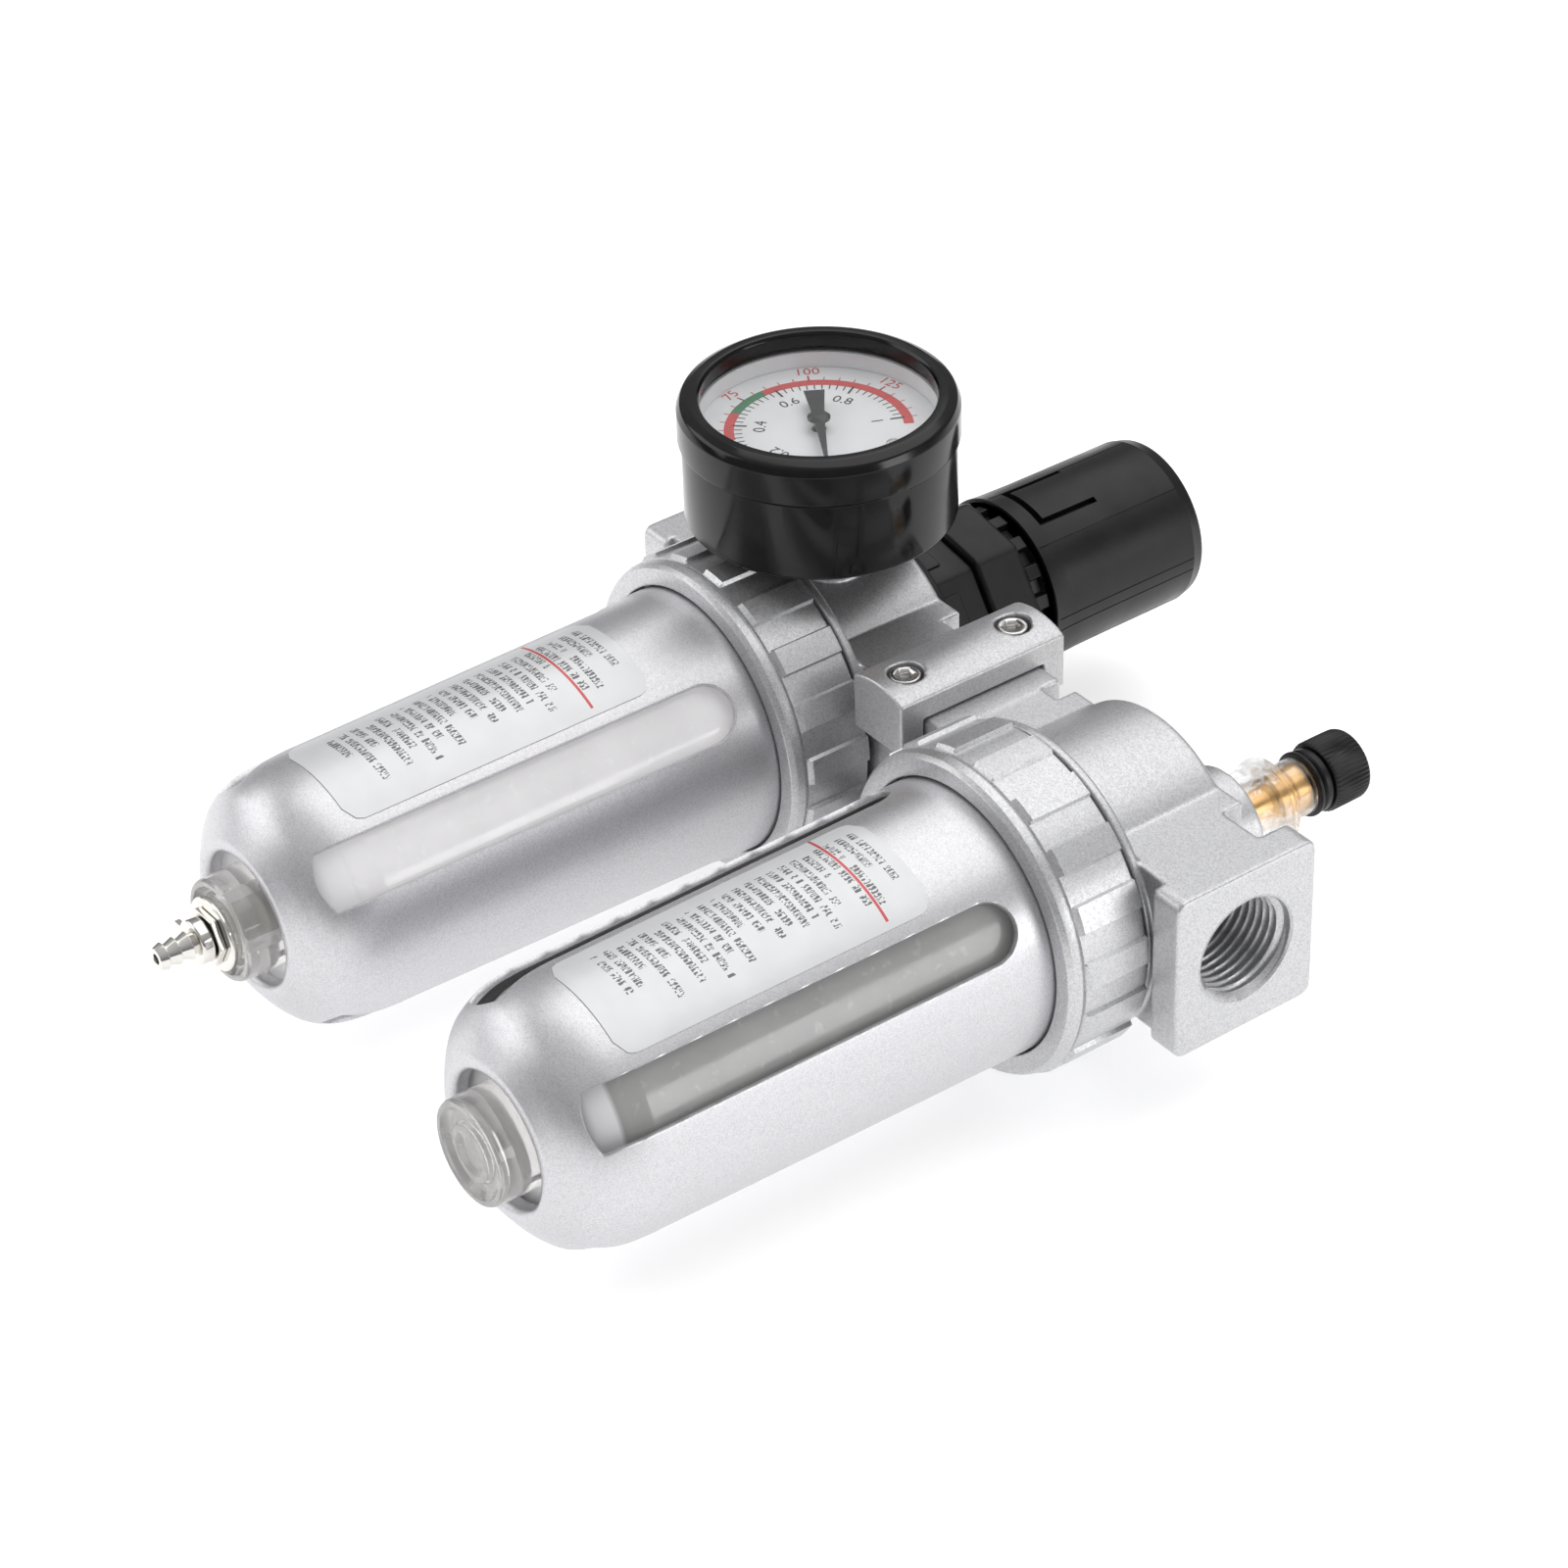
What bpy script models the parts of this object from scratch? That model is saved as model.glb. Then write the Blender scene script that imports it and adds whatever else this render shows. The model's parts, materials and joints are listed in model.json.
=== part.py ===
"""Pneumatic filter regulator lubricator: two die-cast units joined by clamp bars, lying on their backs.

Design axes: X runs along the air line (inlet at -X, outlet at +X), +Y points to the pressure knob and the
bowls point to -Y, +Z is the gauge side. Sizes below are in millimetres from the crossing of the port axis
with the joint plane; everything is parented to one empty that sets the unit down on z = 0.
"""

import math

import bmesh
import bpy
from mathutils import Matrix, Vector

MM = 0.001
GAP = 0.3  # clearance between touching pieces

# ---- driving dimensions, mm ----
UNIT_X = 40.0  # each bowl axis from the joint plane
PORT_X = 79.5  # port faces from the joint plane
PORT_HALF_Z = 17.0
PORT_Y = (-16.2, 15.8)
PLATE_T = 6.9  # port plate thickness
NECK_Y = (-13.5, 13.0)
CHEEK_X = 71.8
CHEEK_Y = (-15.4, -13.0)
GROOVE_W = 9.5  # groove behind the plate that the clamps hook into
GROOVE_FLOOR_Y = 8.2
JOINT_FACE_X = 1.4
SCREW_NOTCH_R = 1.9
VALVE_SEAT_Y = -7.4
VALVE_BORE_R = 4.2
JOINT_Y = (-14.9, 12.9)
JOINT_PLATE_X = 12.5
JOINT_GROOVE_X = 17.0
BODY_R = 24.2
BODY_TOP_Y = 12.8
FLANGE_R = 30.4
FLANGE_Y = (-14.9, -12.9)
THREAD_R = 26.6
THREAD_END_Y = -27.5
SOCKET_R = 25.2  # bore that takes the bowl's neck
SOCKET_TOP_Y = -13.5
PORT_BORE_R = 9.4
PORT_BORE_DEPTH = 19.0
PORT_CHAMFER = 1.5
PASSAGE_R = 7.0

RING_R = 32.1
RING_LAND_R = 31.2
RING_Y = (-33.3, -16.1)
RING_PADS = 18
RING_STEPS = 36
GUARD_TOP_R = 26.6
GUARD_END_R = 25.7
GUARD_HOLE_R = 13.0
GUARD_SHOULDER = [
    (25.6, -116.4),
    (24.9, -122.0),
    (22.8, -127.2),
    (19.8, -130.4),
    (15.2, -133.4),
    (13.4, -133.2),
]
GUARD_LINING = [
    (GUARD_HOLE_R, -132.0),
    (15.6, -131.5),
    (19.0, -129.0),
    (21.7, -126.2),
    (23.6, -121.6),
    (24.3, -116.2),
]
GUARD_WALL = 1.3
SLOT_HALF_W = 5.8
SLOT_Y = (-127.6, -38.5)
SLOT_STEP_DEG = 90.0
SLOT_START_DEG = {"fr": 39.6, "lub": 32.6}
LABEL_Y = (-117.6, -51.6)
LABEL_HALF_DEG = 28.0
BOWL_R = 23.9
BOWL_WALL = 2.2
BOWL_END_Y = -129.4
BOWL_DOME = [(23.3, -115.5), (22.4, -120.0), (19.8, -125.2), (15.5, -128.7)]
HUB_R = 10.0
HUB_Y = -138.9

KNOB_R = 17.2
KNOB_Y = (41.2, 80.0)
LOCK_R = 16.4
LOCK_Y = (37.2, 40.6)
BONNET_NECK_R = 17.5
BONNET_R = 19.2
BONNET_STEP_Y = 26.4
BONNET_TOP_Y = 36.9
SCREW_R = 4.0

GAUGE_X = -40.7
GAUGE_Y = -1.7
GAUGE_TOP_Z = 59.6
BEZEL_R = 26.6
BEZEL_H = 8.6
CASE_R = 25.2
CASE_SIDE_R = 25.9
CASE_BOTTOM_Z = 33.9
DIAL_R = 22.0
DIAL_Z = 51.7
NEEDLE_Z = DIAL_Z + 2.4
POINTER_ZERO_DEG = -32.0

SIGHT_X = 48.3
SIGHT_Z = 0.3
BOSS_R = 11.2
BOSS_Y = 22.3
FILL_X = 29.0

BAR_HALF_X = 7.2
BAR_Y = (-20.3, 18.2)
BAR_SLOT_Y = (-15.3, 13.3)
BAR_SLOT_Z = 17.4
BAR_LEG_Z = 10.6
BAR_EDGE_Z = 21.8
BAR_CROWN_Z = 23.6
CLAMP_SCREW_Y = (-13.7, 11.6)

NIPPLE_TIP_Y = -152.0
FLOOR_DROP = RING_R
MID_Y = (NIPPLE_TIP_Y + KNOB_Y[1]) / 2

FINE = 28
MEDIUM = 18
SMALL = 12
SHARP = math.radians(35)

UP = "Y"  # turned pieces stand along the bowl axis unless told otherwise
TURN = {"Y": (-math.pi / 2, 0, 0), "Z": (0, 0, 0), "X": (0, math.pi / 2, 0)}


# ---- scene helpers ----
def clear_scene():
    for thing in list(bpy.data.objects):
        bpy.data.objects.remove(thing)


def new_collection(name):
    made = bpy.data.collections.new(name)
    bpy.context.scene.collection.children.link(made)
    return made


def material(name, color, roughness, metallic=0.0, alpha=1.0):
    made = bpy.data.materials.new(name)
    made.use_nodes = True
    shader = made.node_tree.nodes["Principled BSDF"]
    shader.inputs["Base Color"].default_value = (*color, 1.0)
    shader.inputs["Roughness"].default_value = roughness
    shader.inputs["Metallic"].default_value = metallic
    shader.inputs["Alpha"].default_value = alpha
    return made


clear_scene()
PARTS = new_collection("filter_regulator_lubricator")
CUTTERS = new_collection("cutters")
ORIGIN = bpy.data.objects.new("unit_origin", None)
ORIGIN.location = (0, -MID_Y * MM, FLOOR_DROP * MM)
PARTS.objects.link(ORIGIN)

PAINT = ("silver_paint", (0.62, 0.62, 0.64), 0.42, 0.75)
STEEL = ("bright_steel", (0.72, 0.70, 0.68), 0.22, 1.0)
SPRING = ("spring_steel", (0.45, 0.45, 0.46), 0.35, 1.0)
BRASS = ("brass", (0.80, 0.56, 0.25), 0.28, 1.0)
BLACK = ("black_plastic", (0.02, 0.02, 0.022), 0.42, 0.0)
GLOSS = ("gauge_black", (0.012, 0.012, 0.014), 0.22, 0.0)
CLEAR = ("clear_polycarbonate", (0.86, 0.86, 0.84), 0.08, 0.0, 0.35)
WHITE = ("white_plastic", (0.85, 0.85, 0.84), 0.55, 0.0)
RUBBER = ("rubber", (0.03, 0.03, 0.03), 0.8, 0.0)
LABEL = ("label", (0.82, 0.83, 0.85), 0.45, 0.2)


def paint(made, look):
    base = bpy.data.materials.get(look[0]) or material(*look)
    own = base.copy()
    own.name = f"{made.name}_finish"
    made.data.materials.append(own)


def add(name, mesh, at, look=None, turn=(0, 0, 0)):
    """A new object with its origin at a design point; without a look it is a hidden cutter."""
    made = bpy.data.objects.new(name, mesh)
    made.parent = ORIGIN
    made.location = Vector(at) * MM
    made.rotation_euler = turn
    if look is None:
        CUTTERS.objects.link(made)
        made.hide_render = True
        made.display_type = "WIRE"
    else:
        PARTS.objects.link(made)
        paint(made, look)
        mesh.shade_smooth()
        mesh.set_sharp_from_angle(angle=SHARP)
    return made


def turned(name, profile, at, look=None, along=UP, steps=FINE, ring=False):
    """A profile of (radius, height) points, outer side running down, spun about the piece's axis."""
    mesh = bpy.data.meshes.new(name)
    points = [(r * MM, 0, h * MM) for r, h in profile]
    edges = [(i, i + 1) for i in range(len(points) - 1)]
    if ring:
        edges.append((len(points) - 1, 0))
    mesh.from_pydata(points, edges, [])
    made = add(name, mesh, at, look, TURN[along])
    spin = made.modifiers.new("spin", "SCREW")
    spin.steps = steps
    spin.render_steps = steps
    spin.use_merge_vertices = True
    spin.merge_threshold = 0.00001
    spin.use_smooth_shade = True
    return made


def rod(name, radius, start, end, at, look=None, along=UP, steps=MEDIUM):
    return turned(name, [(0, end), (radius, end), (radius, start), (0, start)], at, look, along, steps)


def tube(name, outer, inner, start, end, at, look=None, along=UP, steps=FINE):
    profile = [(outer, end), (outer, start), (inner, start), (inner, end)]
    return turned(name, profile, at, look, along, steps, ring=True)


def block(name, low, high, look=None, bevel=0.0, at=None, segments=2):
    """A box between two design corners, its edges rounded when bevel is given."""
    low, high = Vector(low), Vector(high)
    centre = (low + high) / 2 if at is None else Vector(at)
    mesh = bpy.data.meshes.new(name)
    shape = bmesh.new()
    size = Matrix.Diagonal((*((high - low) * MM), 1))
    bmesh.ops.create_cube(shape, size=1, matrix=Matrix.Translation(((low + high) / 2 - centre) * MM) @ size)
    shape.to_mesh(mesh)
    shape.free()
    made = add(name, mesh, centre, look)
    if bevel:
        soften(made, bevel, segments)
    return made


def prism(name, outline, start, end, at, look=None, turn=(0, 0, 0)):
    """An outline of (x, y) points extruded along the piece's own Z."""
    mesh = bpy.data.meshes.new(name)
    shape = bmesh.new()
    face = shape.faces.new([shape.verts.new((x * MM, y * MM, start * MM)) for x, y in outline])
    face.normal_update()
    if face.normal.z > 0:
        face.normal_flip()
    grown = bmesh.ops.extrude_face_region(shape, geom=[face])["geom"]
    moved = [v for v in grown if isinstance(v, bmesh.types.BMVert)]
    bmesh.ops.translate(shape, vec=(0, 0, (end - start) * MM), verts=moved)
    bmesh.ops.recalc_face_normals(shape, faces=shape.faces)
    shape.to_mesh(mesh)
    shape.free()
    return add(name, mesh, at, look, turn)


def soften(made, width, segments=1, angle=40):
    bevel = made.modifiers.new("soften", "BEVEL")
    bevel.width = width * MM
    bevel.segments = segments
    bevel.limit_method = "ANGLE"
    bevel.angle_limit = math.radians(angle)


def boolean(made, other, operation):
    step = made.modifiers.new(operation.lower(), "BOOLEAN")
    step.operation = operation
    step.object = other
    step.solver = "EXACT"


def cut(made, *others):
    for other in others:
        boolean(made, other, "DIFFERENCE")


def fuse(made, *others):
    for other in others:
        boolean(made, other, "UNION")


def polygon(sides, radius, phase_deg=0.0):
    """Corners of a regular polygon of the given corner radius."""
    angles = [math.radians(phase_deg) + i * 2 * math.pi / sides for i in range(sides)]
    return [(radius * math.cos(a), radius * math.sin(a)) for a in angles]


def toothed(teeth, root, tip, share=0.5):
    """Outline of a castellated ring: each tooth takes the given share of its pitch."""
    points = []
    pitch = 2 * math.pi / teeth
    for i in range(teeth):
        start = i * pitch
        for turn, radius in ((0, root), (0, tip), (share, tip), (share, root)):
            angle = start + turn * pitch
            points.append((radius * math.cos(angle), radius * math.sin(angle)))
    return points


def coil(name, radius, wire, turns, start, end, at, look, points_per_turn=12):
    """A coil spring along the bowl axis, as a wire of round section with closed ends."""
    curve = bpy.data.curves.new(name, "CURVE")
    curve.dimensions = "3D"
    count = int(turns * points_per_turn) + 1
    line = curve.splines.new("POLY")
    line.points.add(count - 1)
    for i, point in enumerate(line.points):
        angle = 2 * math.pi * i / points_per_turn
        height = start + wire + (end - start - 2 * wire) * i / (count - 1)
        point.co = (radius * math.cos(angle) * MM, radius * math.sin(angle) * MM, height * MM, 1)
    curve.bevel_depth = wire * MM
    curve.bevel_resolution = 0
    curve.use_fill_caps = True
    made = bpy.data.objects.new(name, curve)
    made.parent = ORIGIN
    made.location = Vector(at) * MM
    made.rotation_euler = TURN[UP]
    PARTS.objects.link(made)
    paint(made, look)
    return made


# ---- castings ----
def port_end(side, outward):
    """Plate and neck of an air port; outward is the sign of the X direction the port faces."""
    def xs(a, b):
        return (min(outward * a, outward * b), max(outward * a, outward * b))

    plate_x = xs(PORT_X - PLATE_T, PORT_X)
    neck_x = xs(UNIT_X, PORT_X - PLATE_T + 1)
    plate = block(
        f"{side}_port_plate_form",
        (plate_x[0], PORT_Y[0], -PORT_HALF_Z),
        (plate_x[1], PORT_Y[1], PORT_HALF_Z),
        bevel=1.6,
    )
    neck = block(
        f"{side}_port_neck_form",
        (neck_x[0], NECK_Y[0], -PORT_HALF_Z + 0.2),
        (neck_x[1], NECK_Y[1], PORT_HALF_Z - 0.2),
    )
    cheek_x = xs(CHEEK_X, PORT_X - PLATE_T + 1)
    cheek = block(
        f"{side}_port_cheek_form",
        (cheek_x[0], CHEEK_Y[0], -PORT_HALF_Z + 0.2),
        (cheek_x[1], CHEEK_Y[1], PORT_HALF_Z - 0.2),
    )
    fuse(neck, cheek)
    groove_x = xs(PORT_X - PLATE_T - GROOVE_W, PORT_X - PLATE_T)
    groove = block(
        f"{side}_port_groove_cut",
        (groove_x[0], GROOVE_FLOOR_Y, -PORT_HALF_Z - 2),
        (groove_x[1], PORT_Y[1] + 2, PORT_HALF_Z + 2),
    )
    cut(neck, groove)
    return plate, neck


def joint_end(side, outward):
    """Plate and neck on the side that meets the other unit."""
    def xs(a, b):
        return (min(outward * a, outward * b), max(outward * a, outward * b))

    plate_x = xs(JOINT_FACE_X, JOINT_PLATE_X)
    neck_x = xs(JOINT_PLATE_X - 1, UNIT_X)
    plate = block(
        f"{side}_joint_plate_form",
        (plate_x[0], JOINT_Y[0], -PORT_HALF_Z),
        (plate_x[1], JOINT_Y[1], PORT_HALF_Z),
        bevel=1.6,
    )
    neck = block(
        f"{side}_joint_neck_form",
        (neck_x[0], NECK_Y[0] + 1, -PORT_HALF_Z + 0.2),
        (neck_x[1], NECK_Y[1] - 0.3, PORT_HALF_Z - 0.2),
    )
    groove_x = xs(JOINT_PLATE_X, JOINT_GROOVE_X)
    groove = block(
        f"{side}_joint_groove_cut",
        (groove_x[0], GROOVE_FLOOR_Y, -PORT_HALF_Z - 2),
        (groove_x[1], PORT_Y[1] + 2, PORT_HALF_Z + 2),
    )
    cut(neck, groove)
    return plate, neck


def body_core(side, x):
    """Turned core of a casting: threaded skirt, flange and drum, open towards the bowl."""
    profile = [
        (0, BODY_TOP_Y),
        (BODY_R - 1.4, BODY_TOP_Y),
        (BODY_R, BODY_TOP_Y - 1.4),
        (BODY_R, FLANGE_Y[1]),
        (FLANGE_R, FLANGE_Y[1]),
        (FLANGE_R, FLANGE_Y[0]),
        (THREAD_R, FLANGE_Y[0]),
        (THREAD_R, THREAD_END_Y),
        (SOCKET_R, THREAD_END_Y),
        (SOCKET_R, SOCKET_TOP_Y),
        (0, SOCKET_TOP_Y),
    ]
    return turned(f"{side}_body", profile, (x, 0, 0), PAINT)


def port_bore(side, outward):
    """Threaded port with its lead-in chamfer, cut from the port face inwards."""
    face = outward * PORT_X
    inner = PORT_X - PORT_BORE_DEPTH
    profile = [
        (0, PORT_X + 1),
        (PORT_BORE_R + PORT_CHAMFER + 1, PORT_X + 1),
        (PORT_BORE_R, PORT_X - PORT_CHAMFER),
        (PORT_BORE_R, inner),
        (0, inner),
    ]
    made = turned(f"{side}_port_bore_cut", profile, (0, 0, 0), along="X", steps=MEDIUM)
    if face < 0:
        made.rotation_euler = (0, -math.pi / 2, 0)
    return made


def screw_notches(side):
    """Half-round grooves in a joint face that the clamp screws pass through."""
    return [
        rod(f"{side}_screw_notch_{i}_cut", SCREW_NOTCH_R, -19, 19, (0, y, 0), along="Z", steps=SMALL)
        for i, y in enumerate(CLAMP_SCREW_Y)
    ]


def filter_regulator_body():
    body = body_core("fr", -UNIT_X)
    fuse(body, *port_end("fr", -1), *joint_end("fr", -1))
    boss = rod("fr_gauge_boss_form", 9.0, 14, 26.5, (GAUGE_X, GAUGE_Y, 0), along="Z", steps=SMALL)
    rear = rod("fr_rear_boss_form", 9.0, -26.5, -14, (GAUGE_X, GAUGE_Y, 0), along="Z", steps=SMALL)
    fuse(body, boss, rear)
    chamber = rod("fr_chamber_cut", 19.0, 5.0, 14, (-UNIT_X, 0, 0))
    seat_profile = [
        (0, 6),
        (VALVE_BORE_R, 6),
        (VALVE_BORE_R, VALVE_SEAT_Y),
        (6.2, VALVE_SEAT_Y),
        (6.2, -16),
        (0, -16),
    ]
    valve_way = turned("fr_valve_way_cut", seat_profile, (-UNIT_X, 0, 0), steps=SMALL)
    inlet_way = rod("fr_inlet_way_cut", PASSAGE_R - 1, -62, -52.5, (0, 0, 0), along="X", steps=SMALL)
    inlet_drop = rod("fr_inlet_drop_cut", 3.4, -16, 0, (-UNIT_X - 15.5, 0, 0), steps=SMALL)
    outlet_way = rod("fr_outlet_way_cut", PASSAGE_R - 1, -38.5, 0, (0, 0, 0), along="X", steps=SMALL)
    gauge_way = rod("fr_gauge_way_cut", 5.0, 3, 28, (GAUGE_X, GAUGE_Y, 0), along="Z", steps=SMALL)
    rear_way = rod("fr_rear_way_cut", 5.0, -28, -3, (GAUGE_X, GAUGE_Y, 0), along="Z", steps=SMALL)
    cut(body, port_bore("fr", -1), chamber, valve_way, gauge_way, rear_way)
    cut(body, inlet_way, inlet_drop, outlet_way, *screw_notches("fr"))
    return body


def lubricator_body():
    body = body_core("lub", UNIT_X)
    boss = rod("lub_sight_boss_form", BOSS_R, 10, BOSS_Y, (SIGHT_X, 0, SIGHT_Z))
    fuse(body, *port_end("lub", 1), *joint_end("lub", 1), boss)
    inlet_way = rod("lub_inlet_way_cut", PASSAGE_R - 1, 0, 30, (0, 0, 0), along="X", steps=SMALL)
    throat = rod("lub_throat_cut", PASSAGE_R + 1, 28, 62, (0, 0, 0), along="X", steps=SMALL)
    well_y = BOSS_Y - 8.0
    oil_way = [(0, BOSS_Y + 1), (8.2, BOSS_Y + 1), (8.2, well_y), (3.1, well_y), (3.1, -16), (0, -16)]
    sight_way = turned("lub_sight_way_cut", oil_way, (SIGHT_X, 0, SIGHT_Z), steps=SMALL)
    fill_way = rod("lub_fill_way_cut", 4.3, -16, 14, (FILL_X, 0, 0), steps=SMALL)
    cut(body, port_bore("lub", 1), sight_way, fill_way)
    cut(body, inlet_way, throat, *screw_notches("lub"))
    return body


# ---- bowls ----
def collar_ring(side, x):
    """Screwed ring with raised grip pads, holding the guard's lip against the casting."""
    y0, y1 = RING_Y
    profile = [
        (RING_LAND_R - 0.4, y1),
        (RING_LAND_R, y1 - 0.6),
        (RING_LAND_R, y0 + 3.2),
        (RING_LAND_R - 1.0, y0),
        (GUARD_TOP_R + GAP, y0),
        (GUARD_TOP_R + GAP, y0 + 2.6),
        (GUARD_TOP_R + 1.6, y0 + 2.6),
        (GUARD_TOP_R + 1.6, y1),
    ]
    ring = turned(f"{side}_collar_ring", profile, (x, 0, 0), PAINT, steps=RING_STEPS, ring=True)
    pads = prism(
        f"{side}_collar_pads_form",
        toothed(RING_PADS, RING_LAND_R - 0.6, RING_R),
        y0 + 3.4,
        y1 - 0.1,
        (x, 0, 0),
        turn=TURN[UP],
    )
    hollow_r = RING_LAND_R - 1.5
    hollow = rod(f"{side}_collar_hollow_cut", hollow_r, y0 - 5, y1 + 5, (x, 0, 0), steps=RING_STEPS)
    cut(pads, hollow)
    fuse(ring, pads)
    return ring


def guard_profile():
    """Outer and inner side of the guard, from its lip at the ring to the hole in its end."""
    lip_y = RING_Y[0] + 4.4
    outer = [
        (GUARD_TOP_R + 1.3, lip_y),
        (GUARD_TOP_R + 1.3, lip_y - 1.4),
        (GUARD_TOP_R, lip_y - 1.4),
        (GUARD_END_R, -110.0),
    ]
    inner = [(GUARD_END_R - GUARD_WALL, -110.0), (GUARD_TOP_R - GUARD_WALL, lip_y)]
    return outer + GUARD_SHOULDER + GUARD_LINING + inner


def slot_outline():
    """Sight slot: a round end by the ring and a flat arc by the shoulder."""
    low, high = SLOT_Y
    half = SLOT_HALF_W
    shoulder = low + 1.6
    turns = [i * math.pi / 6 for i in range(7)]
    round_end = [(half * math.cos(a), high - half + half * math.sin(a)) for a in turns]
    return [(0, low), (half, shoulder), *round_end, (-half, shoulder)]


def bowl_guard(side, x):
    guard = turned(f"{side}_bowl_guard", guard_profile(), (x, 0, 0), PAINT, ring=True)
    for i in range(int(360 / SLOT_STEP_DEG)):
        angle = math.radians(SLOT_START_DEG[side] + i * SLOT_STEP_DEG)
        slot = prism(f"{side}_guard_slot_{i}_cut", slot_outline(), 16, 30, (x, 0, 0))
        slot.rotation_euler = (0, math.pi / 2 - angle, 0)
        cut(guard, slot)
    return guard


def bowl_profile(bore_r):
    """Clear bowl: open neck at the top, domed end and a hub that reaches out of the guard."""
    neck_y = SOCKET_TOP_Y - GAP
    outer = [(BOWL_R + 0.6, neck_y), (BOWL_R + 0.6, neck_y - 3), (BOWL_R, neck_y - 3.5)]
    foot = [(HUB_R, BOWL_END_Y), (HUB_R, HUB_Y + 0.5), (HUB_R - 0.5, HUB_Y), (bore_r, HUB_Y)]
    floor_y = BOWL_END_Y + BOWL_WALL + 0.6
    inner = [(bore_r, floor_y), (12.0, floor_y), (18.4, -122.4), (20.9, -116.0)]
    return outer + BOWL_DOME + foot + inner + [(BOWL_R - BOWL_WALL, neck_y)]


def filter_bowl():
    return turned("fr_bowl", bowl_profile(4.2), (-UNIT_X, 0, 0), CLEAR, ring=True)


def lubricator_bowl():
    """The oil bowl has no drain: its hub is closed by a moulded disc in a shallow recess."""
    bowl = turned("lub_bowl", bowl_profile(6.2), (UNIT_X, 0, 0), CLEAR, ring=True)
    plug = rod("lub_bowl_web_form", 6.6, HUB_Y + 2.0, BOWL_END_Y + BOWL_WALL, (UNIT_X, 0, 0))
    fuse(bowl, plug)
    return bowl


def ring_section(centre_r, centre_y, wire_r):
    """Round section of an O-ring, running down its outer side."""
    angles = [-i * math.pi / 4 for i in range(8)]
    return [(centre_r + wire_r * math.cos(a), centre_y + wire_r * math.sin(a)) for a in angles]


def bowl_seal(side, x):
    """Round seal seated on the bowl's rim inside the casting's socket."""
    outline = ring_section(BOWL_R - 1.0 - BOWL_WALL - 0.7, SOCKET_TOP_Y - GAP - 1.2, 0.9)
    return turned(f"{side}_bowl_seal", outline, (x, 0, 0), RUBBER, steps=MEDIUM, ring=True)


def label(side, x):
    """Curved film on the guard, between two slots."""
    centre = math.radians(SLOT_START_DEG[side] + SLOT_STEP_DEG / 2)
    half = math.radians(LABEL_HALF_DEG)
    inner, outer = GUARD_TOP_R + 0.12, GUARD_TOP_R + 0.36
    steps = 8
    angles = [centre - half + 2 * half * i / steps for i in range(steps + 1)]
    outline = [(outer * math.cos(a), -outer * math.sin(a)) for a in angles]
    outline += [(inner * math.cos(a), -inner * math.sin(a)) for a in reversed(angles)]
    return prism(f"{side}_label", outline, LABEL_Y[0], LABEL_Y[1], (x, 0, 0), LABEL, TURN[UP])


# ---- filter regulator internals ----
def filter_set():
    x = -UNIT_X
    vane_hub = tube("fr_swirl_vane", 17.5, 7.6, -24.5, -20.5, (x, 0, 0), WHITE, steps=MEDIUM)
    slots = prism("fr_swirl_slots_cut", toothed(12, 14.6, 19, 0.35), -25, -20, (x, 0, 0), turn=TURN[UP])
    slot_core = rod("fr_swirl_core_cut", 14.9, -26, -19, (x, 0, 0))
    cut(slots, slot_core)
    cut(vane_hub, slots)
    tube("fr_filter_element", 14.0, 9.5, -78.0, -24.8, (x, 0, 0), WHITE, steps=MEDIUM)
    baffle = [(0, -78.3), (17.0, -78.3), (20.2, -83.0), (20.2, -84.4), (15.5, -80.4), (0, -80.4)]
    turned("fr_baffle", baffle, (x, 0, 0), WHITE, steps=MEDIUM)
    stem = [(0, -14.5), (4.0, -14.5), (4.0, -76.0), (0, -76.0)]
    turned("fr_element_stud", stem, (x, 0, 0), WHITE, steps=SMALL)


def drain():
    """Manual drain at the foot of the filter bowl: a fixed seat and a barbed valve stem that turns."""
    x = -UNIT_X
    seat = [
        (7.2, HUB_Y - GAP),
        (7.2, HUB_Y - 1.5),
        (5.6, HUB_Y - 1.5),
        (5.6, HUB_Y - 2.9),
        (2.7, HUB_Y - 2.9),
        (2.7, BOWL_END_Y + 6.0),
        (5.4, BOWL_END_Y + 6.0),
        (5.4, BOWL_END_Y + 3.8),
        (3.9, BOWL_END_Y + 3.8),
        (3.9, HUB_Y - GAP),
    ]
    turned("fr_drain_seat", seat, (x, 0, 0), STEEL, steps=SMALL, ring=True)
    foot = HUB_Y - 3.2
    barbs = [(2.4, BOWL_END_Y + 7), (2.4, foot), (4.4, foot), (4.4, foot - 2.4), (2.0, foot - 2.4)]
    pitch = (foot - 2.4 - NIPPLE_TIP_Y) / 3
    for i in range(3):
        top = foot - 2.4 - i * pitch
        barbs += [(2.0, top - 0.3 * pitch), (2.7, top - 0.35 * pitch), (2.1, top - pitch)]
    bore = [(1.0, NIPPLE_TIP_Y), (1.0, BOWL_END_Y + 7)]
    stem = turned("fr_drain_valve", barbs + bore, (x, 0, 0), STEEL, steps=SMALL, ring=True)
    tab = block("fr_drain_tab_form", (x - 8.0, foot - 2.2, -1.0), (x + 1.8, foot - 0.3, 1.0))
    tab_bore = rod("fr_drain_tab_cut", 1.4, foot - 4, foot + 1, (x, 0, 0), steps=SMALL)
    cut(tab, tab_bore)
    fuse(stem, tab)


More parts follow.
